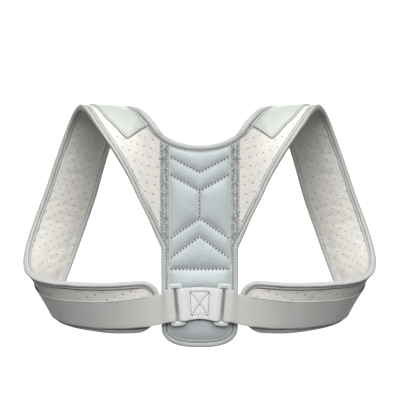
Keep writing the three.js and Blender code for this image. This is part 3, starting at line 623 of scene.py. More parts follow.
# The same thread painted darker, as painted shade where it is pulled deep into the leather; also used round the
# arm holes and in the boxed cross
SHADED_THREAD = Finish("sunk_polyester_thread_painted_shade", Pattern.FLECK, "#4A504F", "#424746", 0.6, 0.05)
# Painted shade for the inside of a punched hole, where little light comes back
PUNCHED_HOLE = Finish("punched_hole_shade", Pattern.FLECK, "#7F7A71", "#6E6961", 1.0, 0.02)


class Instancer:
    """Geometry Nodes trees that set stitches along lines and punched holes over a sheet."""

    def __init__(self) -> None:
        """Builds both trees."""
        self.stitches = self.stitch_tree()
        self.holes = self.hole_tree()

    @staticmethod
    def new_tree(name: str, sizes: dict[str, tuple[str, float | bool | None]]) -> tuple[Adder, dict[str, Socket]]:
        """Starts a tree with a geometry input and output, and named inputs.

        Args:
            name: the tree's name.
            sizes: input name, with its socket type and default value.

        Returns:
            The function that adds a node to the tree, and the group's input sockets by name.
        """
        tree = bpy.data.node_groups.new(name, "GeometryNodeTree")
        tree.interface.new_socket("Geometry", in_out="INPUT", socket_type="NodeSocketGeometry")
        for label, (kind, value) in sizes.items():
            socket = tree.interface.new_socket(label, in_out="INPUT", socket_type=kind)
            if value is not None:
                socket.default_value = value
        tree.interface.new_socket("Geometry", in_out="OUTPUT", socket_type="NodeSocketGeometry")
        add = partial(add_node, tree)
        return add, {s.name: s for s in add("NodeGroupInput").node.outputs}

    @staticmethod
    def close_tree(add: Adder, instances: Socket, material: Socket) -> bpy.types.NodeTree:
        """Realizes the instances, sets their material, links the output and gives back the tree."""
        real = add("GeometryNodeRealizeInstances", {0: instances})
        painted = add("GeometryNodeSetMaterial", {"Geometry": real, "Material": material})
        add("NodeGroupOutput", {0: painted})
        return painted.id_data

    @staticmethod
    def named(add: Adder, name: str) -> Socket:
        """Output of a named vector attribute."""
        return add("GeometryNodeInputNamedAttribute", {"Name": name}, data_type="FLOAT_VECTOR")

    def stitch_tree(self) -> bpy.types.NodeTree:
        """Tree that turns lines into rows of stitches: one small bead to each length of line."""
        add, sizes = self.new_tree("stitches_along_lines", {
            "Pitch": ("NodeSocketFloat", 0.003), "Fill": ("NodeSocketFloat", 0.72),
            "Width": ("NodeSocketFloat", 0.0007), "Height": ("NodeSocketFloat", 0.0005),
            "Keep Corners": ("NodeSocketBool", False), "Material": ("NodeSocketMaterial", None)})
        line = add("GeometryNodeMeshToCurve", {0: sizes["Geometry"]})
        spaced = add("GeometryNodeResampleCurve", {"Curve": line, "Length": sizes["Pitch"]}, mode="LENGTH")
        chosen = add("GeometryNodeSwitch", {"Switch": sizes["Keep Corners"], "False": spaced, "True": line},
                     input_type="GEOMETRY")
        edges = add("GeometryNodeCurveToMesh", {"Curve": chosen})
        ends = add("GeometryNodeInputMeshEdgeVertices").node.outputs
        step = add("ShaderNodeVectorMath", {0: ends["Position 2"], 1: ends["Position 1"]}, operation="SUBTRACT")
        stored = add("GeometryNodeStoreNamedAttribute", {"Geometry": edges, "Name": "heading", "Value": step},
                     data_type="FLOAT_VECTOR", domain="EDGE")
        spots = add("GeometryNodeMeshToPoints", {"Mesh": stored}, mode="EDGES")
        heading = self.named(add, "heading")
        upright = add("FunctionNodeAlignRotationToVector", {"Vector": self.named(add, "facing")}, axis="Z")
        turned = add("FunctionNodeAlignRotationToVector", {"Rotation": upright, "Vector": heading}, axis="X",
                     pivot_axis="Z")
        length = add("ShaderNodeVectorMath", {0: heading}, "Value", operation="LENGTH")
        filled = add("ShaderNodeMath", {0: length, 1: sizes["Fill"]}, operation="MULTIPLY")
        whole = add("ShaderNodeCombineXYZ", {0: filled, 1: sizes["Width"], 2: sizes["Height"]})
        half = add("ShaderNodeVectorMath", {0: whole, 1: (0.5, 0.5, 0.5)}, operation="MULTIPLY")
        bead = add("GeometryNodeMeshIcoSphere", {"Radius": 1.0, "Subdivisions": 1})
        beads = add("GeometryNodeInstanceOnPoints", {"Points": spots, "Instance": bead, "Rotation": turned,
                                                     "Scale": half})
        return self.close_tree(add, beads, sizes["Material"])

    def hole_tree(self) -> bpy.types.NodeTree:
        """Tree that sets a dark disc, painted shade standing for a punched hole, at each point of a square lattice
        laid over a sheet's flat chart.
        """
        add, sizes = self.new_tree("punched_holes_over_sheet", {
            "Pitch": ("NodeSocketFloat", 0.0096), "Turn": ("NodeSocketFloat", 0.0),
            "Radius": ("NodeSocketFloat", 0.0007), "Extent": ("NodeSocketFloat", 1.8),
            "Material": ("NodeSocketMaterial", None)})
        pitch = sizes["Pitch"]
        double = add("ShaderNodeMath", {0: pitch, 1: 2.0}, operation="MULTIPLY")
        fitting = add("ShaderNodeMath", {0: sizes["Extent"], 1: double}, operation="DIVIDE")
        half_steps = add("ShaderNodeMath", {0: fitting}, operation="FLOOR")
        count = add("ShaderNodeMath", {0: half_steps, 1: 2.0, 2: 1.0}, operation="MULTIPLY_ADD")
        side = add("ShaderNodeMath", {0: half_steps, 1: double}, operation="MULTIPLY")
        points = add("GeometryNodeMeshGrid", {"Size X": side, "Size Y": side, "Vertices X": count,
                                              "Vertices Y": count})
        half = add("ShaderNodeMath", {0: pitch, 1: 0.5}, operation="MULTIPLY")
        shift = add("ShaderNodeCombineXYZ", {0: half, 1: half})
        shifted = add("ShaderNodeVectorMath", {0: add("GeometryNodeInputPosition"), 1: shift}, operation="ADD")
        spot = add("ShaderNodeVectorRotate", {"Vector": shifted, "Angle": sizes["Turn"]}, rotation_type="Z_AXIS")
        chart = self.named(add, "UVMap")
        sampled = {}
        for name, kind in (("seat", "GeometryNodeInputPosition"), ("facing", "GeometryNodeInputNormal")):
            sampler = add("GeometryNodeSampleUVSurface", data_type="FLOAT_VECTOR").node
            places = {s.name: s for s in sampler.inputs if s.enabled}
            flat = places.get("UV Map") or places["Source UV Map"]
            for source, place in ((sizes["Geometry"], places["Mesh"]), (add(kind), places["Value"]),
                                  (spot, places["Sample UV"]), (chart, flat)):
                sampler.id_data.links.new(source, place)
            sampled[name] = sampler.outputs
        for name, outputs in sampled.items():
            points = add("GeometryNodeStoreNamedAttribute", {"Geometry": points, "Name": name,
                                                             "Value": outputs["Value"]},
                         data_type="FLOAT_VECTOR", domain="POINT")
        missing = add("FunctionNodeBooleanMath", {0: sampled["seat"]["Is Valid"]}, operation="NOT")
        points = add("GeometryNodeDeleteGeometry", {"Geometry": points, "Selection": missing}, domain="POINT")
        points = add("GeometryNodeSetPosition", {"Geometry": points, "Position": self.named(add, "seat")})
        upright = add("FunctionNodeAlignRotationToVector", {"Vector": self.named(add, "facing")}, axis="Z")
        hole = add("GeometryNodeMeshCone", {"Vertices": 8, "Radius Top": 0.72, "Radius Bottom": 1.0,
                                            "Depth": 0.12}, fill_type="NGON")
        holes = add("GeometryNodeInstanceOnPoints", {"Points": points, "Instance": hole, "Rotation": upright,
                                                     "Scale": sizes["Radius"]})
        return self.close_tree(add, holes, sizes["Material"])

    @staticmethod
    def bake(host: bpy.types.Object, tree: bpy.types.NodeTree, name: str, values: dict) -> bpy.types.Object:
        """Runs a tree on a host object and keeps its result as a plain mesh.

        Args:
            host: the object that carries the lines or the sheet; it is removed.
            tree: the tree.
            name: the new piece's name.
            values: input name and value.

        Returns:
            The new piece.
        """
        modifier = host.modifiers.new("made", "NODES")
        modifier.node_group = tree
        for item in tree.interface.items_tree:
            if item.item_type == "SOCKET" and item.in_out == "INPUT" and item.name in values:
                modifier[item.identifier] = values[item.name]
        evaluated = host.evaluated_get(bpy.context.evaluated_depsgraph_get())
        mesh = bpy.data.meshes.new_from_object(evaluated)
        made = bpy.data.objects.new(name, mesh)
        mesh.name = name
        bpy.context.scene.collection.objects.link(made)
        for attribute in [a.name for a in mesh.attributes if a.name in ("heading", "facing", "seat")]:
            mesh.attributes.remove(mesh.attributes[attribute])
        bpy.data.objects.remove(host)
        return made

    def sew(self, name: str, lines: Lines, material: bpy.types.Material, side: int = -1,
            pitch: float = 3.2, width: float = 0.75, height: float = 0.6, fill: float = 0.72,
            corners: bool = False) -> bpy.types.Object:
        """Makes rows of stitches.

        Args:
            name: the piece's name.
            lines: points of each line on the left side, with the direction that the cloth faces there.
            material: the thread.
            side: -1 for the left side, 1 for the right.
            pitch, width, height: of one stitch, in millimetres.
            fill: share of the pitch that a stitch covers.
            corners: whether each step of a line is one stitch.

        Returns:
            The piece.
        """
        flip = np.array([-side, 1, 1])
        points = np.concatenate([p for p, _ in lines]) * flip
        facing = np.concatenate([f for _, f in lines]) * flip
        edges, start = [], 0
        for line, _ in lines:
            edges += [(start + i, start + i + 1) for i in range(len(line) - 1)]
            start += len(line)
        mesh = bpy.data.meshes.new(name + "_lines")
        mesh.from_pydata((points * MM).tolist(), edges, [])
        layer = mesh.attributes.new("facing", "FLOAT_VECTOR", "POINT")
        layer.data.foreach_set("vector", facing.astype(np.float32).ravel())
        host = bpy.data.objects.new(name + "_lines", mesh)
        bpy.context.scene.collection.objects.link(host)
        return self.bake(host, self.stitches, name, {
            "Pitch": pitch * MM, "Fill": fill, "Width": width * MM, "Height": height * MM, "Keep Corners": corners,
            "Material": material})

    def punch(self, name: str, sheet: Draft, material: bpy.types.Material,
              holes: Perforation) -> bpy.types.Object:
        """Makes the punched holes over a sheet whose faces look outward."""
        host = sheet.make(name + "_sheet", [], closed=False)
        return self.bake(host, self.holes, name, {
            "Pitch": holes.pitch * MM, "Turn": math.radians(holes.turn), "Radius": holes.hole * MM,
            "Material": material})


def collar_z(x: Array) -> Array:
    """Height of the collar's edge at a distance from the middle."""
    seam = SURFACE.point(0, 0)
    return COLLAR_Z + (seam[2] - COLLAR_Z) * np.abs(np.asarray(x) / seam[0]) ** COLLAR_ROUNDNESS


SURFACE = StrapSurface()
BACKWARD = np.array([0.0, -1.0, 0.0])


@dataclass
class Rim:
    """Edge of the left half, from the collar's middle round the strap to the tail's middle.

    Attributes:
        step: spacing of the strap's rows.
        end_rows, collar_rows, tail_rows: rows of the rounded end, the collar and the tail.
    """

    step: float = 2.6
    end_rows: int = 16
    collar_rows: int = 20
    tail_rows: int = 34

    def __post_init__(self) -> None:
        """Lays out the rows and the rim's points, normals and inward directions."""
        plain = SURFACE.length - PAD_END_SETBACK - PAD_END_RADIUS
        lengths = np.linspace(0, plain, int(plain / self.step))
        angles = np.arange(1, self.end_rows + 1) / self.end_rows * math.pi / 2
        ends = SURFACE.length - PAD_END_SETBACK - PAD_END_RADIUS * (1 - np.sin(angles))
        self.lengths = np.concatenate([lengths, ends])
        self.sections = SURFACE.section_at(self.lengths)
        self.cut = np.concatenate([np.zeros(len(lengths)), PAD_END_RADIUS * (1 - np.cos(angles))])
        width = np.linalg.norm(SURFACE.across(self.sections), axis=1)
        blend = np.clip(self.lengths / SURFACE.length_at(0.5), 0, 1)[:, None]
        sides = []
        for place in (self.cut / width, 1 - self.cut / width):
            normal = unit(mix(BACKWARD, SURFACE.normal(self.sections, place), blend))
            sides.append((SURFACE.point(self.sections, place), normal))
        (outer, outer_normal), (arm, arm_normal) = sides
        cap = np.linspace(0, 1, 6)[1:-1, None]
        end = mix(outer[-1], arm[-1], cap)
        end_normal = unit(mix(outer_normal[-1], arm_normal[-1], cap))
        collar_x = np.linspace(-GAP / 2, outer[0, 0], self.collar_rows, endpoint=False)
        collar = self.flat(collar_x, collar_z(collar_x))
        side = self.side_points(arm[0], arm[1])
        tail_angles = np.arange(self.tail_rows + 1) / self.tail_rows * math.pi / 2
        power = 2 / TAIL_ROUNDNESS
        tail = self.flat(np.minimum(-BASE_HALF * np.maximum(np.cos(tail_angles), 0) ** power, -GAP / 2),
                         TAIL_TOP - TAIL_HEIGHT * np.sin(tail_angles) ** power)
        parts = [collar, outer, end, arm[::-1], side, tail]
        self.points = np.concatenate(parts)
        back = [np.tile(BACKWARD, (len(p), 1)) for p in (collar, side, tail)]
        self.normals = np.concatenate([back[0], outer_normal, end_normal, arm_normal[::-1], back[1], back[2]])
        starts = np.cumsum([0] + [len(p) for p in parts])
        self.collar, self.outer, self.end, arm_slice, self.side, self.tail = (
            slice(a, b) for a, b in zip(starts[:-1], starts[1:]))
        self.arm_start, self.arm_stop = arm_slice.start, arm_slice.stop
        before = np.concatenate([self.points[:1], self.points[:-1]])
        after = np.concatenate([self.points[1:], self.points[-1:]])
        self.along = unit(after - before)
        self.inward = unit(np.cross(self.normals, self.along))
        self.inward[0], self.inward[-1] = (0, 0, -1), (0, 0, 1)
        self.run = distances(self.points)
        self.chart_outer, self.chart_arm = self.unrolled(outer, arm)

    @staticmethod
    def flat(x: Array, z: Array) -> Array:
        """Points on the base's middle plane."""
        return np.stack([x, np.full_like(x, PANEL_Y), z], -1)

    def side_points(self, seam: Array, after: Array) -> Array:
        """The base's upright side below the arm hole, with the short bend into it."""
        direction = unit(seam - after)
        reach = (-BASE_HALF - seam[0]) / direction[0]
        drop = abs(direction[2] * reach)
        corners = np.array([(seam[0], seam[2]), (-BASE_HALF, seam[2] + direction[2] * reach),
                            (-BASE_HALF, seam[2] - 2 * drop)])
        t = np.linspace(0, 1, 13)[1:, None]
        bend = (1 - t) ** 2 * corners[0] + 2 * t * (1 - t) * corners[1] + t ** 2 * corners[2]
        rest = np.linspace(bend[-1, 1], TAIL_TOP, 24)[1:-1]
        return np.concatenate([self.flat(bend[:, 0], bend[:, 1]), self.flat(np.full(len(rest), -BASE_HALF), rest)])

    @staticmethod
    def unrolled(outer: Array, arm: Array) -> tuple[Array, Array]:
        """Both strap edges laid flat, with the lengths between them kept."""
        flat = [(outer[0, [0, 2]], arm[0, [0, 2]])]

        def corner(a: Array, b: Array, from_a: float, from_b: float) -> Array:
            """Third corner of a triangle on the far side of a line."""
            line = b - a
            size = float(np.linalg.norm(line))
            along = (from_a ** 2 - from_b ** 2 + size ** 2) / (2 * size)
            beside = math.sqrt(max(from_a ** 2 - along ** 2, 0))
            line = line / size
            return a + line * along + np.array([line[1], -line[0]]) * beside

        def apart(a: Array, b: Array) -> float:
            """Distance between two points."""
            return float(np.linalg.norm(a - b))

        for row in range(1, len(outer)):
            a, b = flat[-1]
            next_a = corner(a, b, apart(outer[row], outer[row - 1]), apart(outer[row], arm[row - 1]))
            next_b = corner(next_a, b, apart(arm[row], outer[row]), apart(arm[row], arm[row - 1]))
            flat.append((next_a, next_b))
        return np.array([a for a, _ in flat]), np.array([b for _, b in flat])


RIM = Rim()


class Builder:
    """Makes every piece, and hides the CAD parts that each one stands for."""

    def __init__(self) -> None:
        """Builds the finishes and the Geometry Nodes trees."""
        self.tools = Instancer()
        self.materials: dict[str, bpy.types.Material] = {}

    def material(self, finish: Finish) -> bpy.types.Material:
        """The finish's material, made on first use."""
        if finish.name not in self.materials:
            self.materials[finish.name] = finish.build()
        return self.materials[finish.name]

    def keep(self, piece: bpy.types.Object, finish: Finish, *nodes: str) -> bpy.types.Object:
        """Sets a finished piece on the frame.

        Args:
            piece: the piece, in place.
            finish: its main finish, not used.
            nodes: CAD nodes that it stands for.

        Returns:
            The piece.
        """
        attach(piece, "root")
        if nodes:
            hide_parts(*nodes)
        LOG.info("%s: %d faces", piece.name, len(piece.data.polygons))
        return piece

    def sew(self, name: str, lines: Lines, thread: Finish, cloth: Finish, side: int = -1, **sizes: float) -> None:
        """Sews rows of stitches, and sets them on the frame."""
        self.keep(self.tools.sew(name, lines, self.material(thread), side, **sizes), cloth)

    def punch(self, name: str, sheet: Draft, holes: Perforation) -> None:
        """Punches holes over a sheet of the perforated cloth."""
        self.keep(self.tools.punch(name, sheet, self.material(PUNCHED_HOLE), holes), PERFORATED_KNIT)


@dataclass
class ShoulderPad:
    """One padded strap: foam between the perforated knit and its lining.

    Attributes:
        columns: how many columns of points across.
        edge_half: half thickness where the binding grips it.
        stretches, folded: in how many stretches the strap is creased, and which of them lie in slanting folds.
        outer_creases, lining_creases: seed, depth of the creases and depth of the slanting folds.
    """

    columns: int = 37
    edge_half: float = 1.7
    stretches: int = 12
    folded: tuple = (6, 7)
    outer_creases: tuple = (11, 0.32, 0.0)
    lining_creases: tuple = (57, 0.5, 0.42)

    def __post_init__(self) -> None:
        """Lays out the pad's middle surface, its distance from the binding and its half thickness."""
        rim = RIM
        arm = slice(rim.arm_stop - 1, rim.arm_start - 1 if rim.arm_start else None, -1)
        outer = rim.points[rim.outer] + rim.inward[rim.outer] * CLOTH_SETBACK
        inner = rim.points[arm] + rim.inward[arm] * CLOTH_SETBACK
        share = (1 - np.cos(np.linspace(0, math.pi, self.columns))) / 2
        share = mix(np.linspace(0, 1, self.columns), share, 0.45)[None, :, None]
        self.middle = mix(outer[:, None], inner[:, None], share)
        self.normal = unit(mix(rim.normals[rim.outer][:, None], rim.normals[arm][:, None], share))
        self.chart = mix(rim.chart_outer[:, None], rim.chart_arm[:, None], share)
        width = np.linalg.norm(inner - outer, axis=1)[:, None]
        across = unit(inner - outer)
        slants = [np.abs((across * rim.inward[part]).sum(-1))[:, None] for part in (rim.outer, arm)]
        share = share[..., 0]
        from_rim = np.minimum(share * width * slants[0], (1 - share) * width * slants[1]) + CLOTH_SETBACK
        from_end = (SURFACE.length - PAD_END_SETBACK - rim.lengths)[:, None]
        self.from_rim = np.minimum(from_rim, np.maximum(from_end, 0) + CLOTH_SETBACK)
        self.lengths = np.repeat(rim.lengths[:, None], self.columns, 1)
        self.share = np.repeat(share, len(rim.lengths), 0)
        filling = (ease(self.lengths, PUFF_START, PUFF_START + PUFF_RISE)
                   * ease(from_end, BINDING_REACH, BINDING_REACH + PUFF_RISE))
        grip = ease(self.from_rim, BINDING_WIDTH - 2.2, BINDING_WIDTH + 2.5)
        puff = STRAP_PUFF * filling * np.sin(math.pi * self.share) ** 0.7
        self.half = mix(self.edge_half, CLOTH_HALF, grip) + puff * ease(self.from_rim, BINDING_WIDTH - 1, 22)

    def relief(self, seed: int, depth: float, folds: float) -> Array:
        """Creases across the strap, slanting folds where it turns, and small puckers beside the binding."""
        along = np.gradient(self.chart.mean(1), axis=0)
        turn = np.degrees(np.arctan2(along[:, 1], along[:, 0]))
        height = np.zeros(self.chart.shape[:2])
        # The chart's direction of the strap changes, so each stretch gets its own creases
        places = np.arange(len(turn)) * self.stretches // len(turn)
        for stretch in range(self.stretches):
            rows = places == stretch
            heading = float(turn[rows].mean()) + 90
            area = self.chart[rows].reshape(-1, 2)
            corners = (tuple(area.min(0)), tuple(area.max(0)))
            height += Creases(seed + stretch, *corners, 20, (heading, 24), 9, 2.6, depth).at(self.chart)
            if folds and stretch in self.folded:
                slanting = Creases(seed + 40 + stretch, *corners, 5, (heading - 48, 12), 17, 3.4, folds)
                height += slanting.at(self.chart)
        pucker = np.sin(self.lengths / 5.2 * 2 * math.pi / 1.6 + 2.5 * np.sin(self.lengths / 23 + seed))
        beside = np.exp(-((self.from_rim - BINDING_WIDTH - 1.5) / 3.2) ** 2)
        return (height + 0.22 * pucker * beside) * ease(self.from_rim, BINDING_WIDTH - 1, BINDING_WIDTH + 3)

    def draft(self) -> Draft:
        """The left pad as a closed body: the knit outside and the lining inside."""
        self.top = self.middle + self.normal * (self.half + self.relief(*self.outer_creases))[..., None]
        self.bottom = self.middle - self.normal * (self.half + self.relief(*self.lining_creases))[..., None]
        return shell(self.top, self.bottom, self.chart)

    def sheet(self, points: Array, outward: bool) -> Draft:
        """The part of one face that lies clear of the binding, for its punched holes."""
        rows, columns = points.shape[:2]
        clear = (self.from_rim > BINDING_WIDTH + 2.2).reshape(-1)
        clear &= (self.lengths > 6).reshape(-1)
        faces = [f for f in grid_faces(rows, columns) if clear[f].all()]
        if outward:
            faces = [f[::-1] for f in faces]
        return Draft(points.reshape(-1, 3), faces, self.chart.reshape(-1, 2))

    def half_at(self, section: Array, share: Array) -> Array:
        """Half thickness of the pad at section numbers and shares across, away from its ends."""
        filling = ease(SURFACE.length_at(section), PUFF_START, PUFF_START + PUFF_RISE)
        width = np.linalg.norm(SURFACE.across(section), axis=-1)
        from_rim = np.minimum(share, 1 - share) * width
        puff = STRAP_PUFF * filling * np.sin(math.pi * np.clip(share, 0, 1)) ** 0.7
        return CLOTH_HALF + puff * ease(from_rim, BINDING_WIDTH - 1, 22)

    def build(self, builder: Builder) -> None:
        """Makes both pads with their punched holes."""
        pad = self.draft()
        cloths = [builder.material(PERFORATED_KNIT), builder.material(KNIT_LINING)]
        outer, lining = self.sheet(self.top, True), self.sheet(self.bottom, False)
        for name, side in SIDES:
            piece = on_side(pad, side).make(f"padded_strap_{name}", cloths)
            builder.keep(piece, PERFORATED_KNIT, f"shoulder_pad_{name}")
            builder.punch(f"perforations_outer_{name}", on_side(outer, side), KNIT_HOLES)
            builder.punch(f"perforations_lining_{name}", on_side(lining, side), LINING_HOLES)


PAD = ShoulderPad()


@dataclass
class EdgeBinding:
    """Tape folded over one half's edge and sewn through.

    Attributes:
        profile: depth in from the edge and lift off the middle plane, from the outer leg's free end to the fold.
        inside: the same for the fold's inner face.
        groove, free_edge: depths of the profile's groove and end.
        plain_depth, arm_depth: the stitch line's distance from the edge, and the one round the arm hole.
        pucker: height of the tape's waves between stitches.
        outer_lift, inner_lift: the stitches' distance from the middle plane on the outer and the inner face.
        flat_width: the tape's width before it is folded.
    """

    profile: tuple = ((7.2, 2.45), (7.3, 2.95), (7.05, 3.34), (6.4, 3.46), (5.95, 3.2), (5.6, 2.72), (5.3, 2.72),
                      (4.95, 3.2), (4.4, 3.56), (3.4, 3.78), (2.2, 3.8), (1.2, 3.5), (0.5, 2.87), (0.12, 1.8),
                      (0, 0.6))
    inside: tuple = ((1.0, 0.4), (1.15, 1.6), (1.9, 2.3), (3.2, 2.4), (3.8, 2.1), (5.4, 2.05))
    groove: float = 5.45
    free_edge: float = 7.3
    plain_depth: float = 6.2
    arm_depth: float = 4.3
    pucker: float = 0.16
    outer_lift: float = 3.15
    inner_lift: float = 2.7
    flat_width: float = 19.0

    def depths(self) -> Array:
        """Distance of the stitch line from the edge, along the rim: nearer to it round the arm hole."""
        run = RIM.run
        round_arm = ease(run, run[RIM.arm_start] + 10, run[RIM.arm_start] + 60)
        round_arm = round_arm * (1 - ease(run, run[RIM.arm_stop] - 50, run[RIM.arm_stop]))
        return mix(self.plain_depth, self.arm_depth, round_arm)

    def section(self) -> Array:
        """The folded tape's closed section."""
        outer = np.array(self.profile)
        inner = np.array(self.inside)
        flip = np.array([1, -1])
        return np.concatenate([outer, outer[::-1] * flip, inner[::-1] * flip, inner])

    def draft(self) -> Draft:
        """The left binding, from the collar's middle to the tail's middle."""
        section = self.section()
        rim = RIM
        run = rim.run[:, None]
        wobble = self.pucker * (np.sin(run / 4.3 + 1.7 * np.sin(run / 31)) + 0.6 * np.sin(run / 9.7 + 1.1))
        lift = section[None, :, 1] + np.sign(section[None, :, 1]) * wobble * (section[None, :, 0] > 1.05)
        place, groove = section[None, :, 0], self.depths()[:, None]
        beyond = groove + (place - self.groove) * (self.free_edge - groove) / (self.free_edge - self.groove)
        depth = np.where(place <= self.groove, place * groove / self.groove, beyond)
        depth = depth + 0.18 * np.sin(run / 13 + 2 * np.sin(run / 47)) * (place > 6)
        loops = (rim.points[:, None] + rim.inward[:, None] * depth[..., None]
                 + rim.normals[:, None] * np.broadcast_to(lift, depth.shape)[..., None])
        chart = np.stack(np.broadcast_arrays(run, distances(section)[None]), -1)
        return tube(loops, chart)

    def stitch_lines(self) -> Lines:
        """Stitch lines on the outer face away from the arm hole, and all along the inner face."""
        rim = RIM
        base = rim.points + rim.inward * self.depths()[:, None]
        outer = base + rim.normals * self.outer_lift
        parts = (slice(0, rim.arm_start + 15), slice(rim.arm_stop - 5, None))
        lines = [(outer[part], rim.normals[part]) for part in parts]
        return [*lines, (base - rim.normals * self.inner_lift, -rim.normals)]

    def arm_lines(self) -> Lines:
        """Two rows of fine stitches round the arm hole, on the tape and on the pad beside its free edge."""
        rim = RIM
        rows = slice(rim.arm_start + 14, rim.arm_stop - 4)
        lines = []
        for depth, lift in ((self.depths()[rows, None], 2.95), (self.free_edge + 0.7, 2.55)):
            points = rim.points[rows] + rim.inward[rows] * depth + rim.normals[rows] * lift
            lines.append((points, rim.normals[rows]))
        return lines

    def build(self, builder: Builder) -> None:
        """Makes both bindings with their stitches."""
        draft = self.draft()
        for name, side in SIDES:
            piece = on_side(draft, side).make(f"folded_tape_{name}", [builder.material(BINDING)])
            builder.keep(piece, BINDING, f"edge_binding_{name}")
            builder.sew(f"binding_stitches_{name}", self.stitch_lines(), THREAD, BINDING, side,
                        pitch=3.9, width=1.2, height=0.9, fill=0.62)
            builder.sew(f"arm_hole_stitches_{name}", self.arm_lines(), SHADED_THREAD, BINDING, side,
                        pitch=3.0, width=0.75, height=0.7, fill=0.95)


@dataclass
class BackPanel:
    """Padded base behind the spine: perforated knit with its lining toward the wearer.

    Attributes:
        half_width, seam_half: half its width below the arm holes and along the seams.
        crown: how far the lining bulges toward the wearer.
        rows, columns: of points.
    """

    half_width: float = 44.9
    seam_half: float = 46.3
    crown: float = 0.9
    rows: int = 96
    columns: int = 45

    def grids(self) -> tuple[Array, Array, Array]:
        """Outer face, wearer's face and flat chart."""
        down = np.linspace(0, 1, self.rows)
        top = COLLAR_Z - CLOTH_SETBACK
        bottom = TAIL_Z + CLOTH_SETBACK + 0.4
        z = mix(top, bottom, down)
        tail = np.clip((TAIL_TOP - z) / (TAIL_HEIGHT - CLOTH_SETBACK), 0, 0.999)
        half = self.half_width * (1 - tail ** TAIL_ROUNDNESS) ** (1 / TAIL_ROUNDNESS)
        half = half + (self.seam_half - self.half_width) * (1 - ease(-z, 150, 162))
        across = np.linspace(-1, 1, self.columns)[None]
        x = half[:, None] * across
        rise = (collar_z(x) - COLLAR_Z) * np.clip(1 - down / 0.16, 0, 1)[:, None]
        z = z[:, None] + rise
        crown = self.crown * np.cos(across * math.pi / 2) ** 0.5 * ease(down, 0, 0.08)[:, None]
        crown = crown * ease(1 - down, 0, 0.1)[:, None]
        relief = Creases(91, (-40, -270), (40, -40), 60, (0, 40), 9, 2.4, 0.3).at(np.stack([x, z], -1))
        plane = np.full_like(x, PANEL_Y)
        outer = np.stack([x, plane - CLOTH_HALF + 0.1, z], -1)
        inner = np.stack([x, plane + CLOTH_HALF + crown + relief * ease(1 - np.abs(across), 0.1, 0.3), z], -1)
        return outer, inner, np.stack([x, z], -1)

    def build(self, builder: Builder) -> None:
        """Makes the base with the punched holes of its lining."""
        outer, inner, chart = self.grids()
        cloths = [builder.material(PERFORATED_KNIT), builder.material(KNIT_LINING)]
        piece = shell(outer, inner, chart).make("panel_base", cloths)
        builder.keep(piece, PERFORATED_KNIT, "back_panel")
        clear = (np.abs(chart[..., 0]) < BASE_HALF - 9) & (chart[..., 1] < -46) & (chart[..., 1] > TAIL_Z + 14)
        clear = clear.reshape(-1)
        faces = [f for f in grid_faces(self.rows, self.columns) if clear[f].all()]
        builder.punch("perforations_panel", Draft(inner.reshape(-1, 3), faces, chart.reshape(-1, 2)), LINING_HOLES)


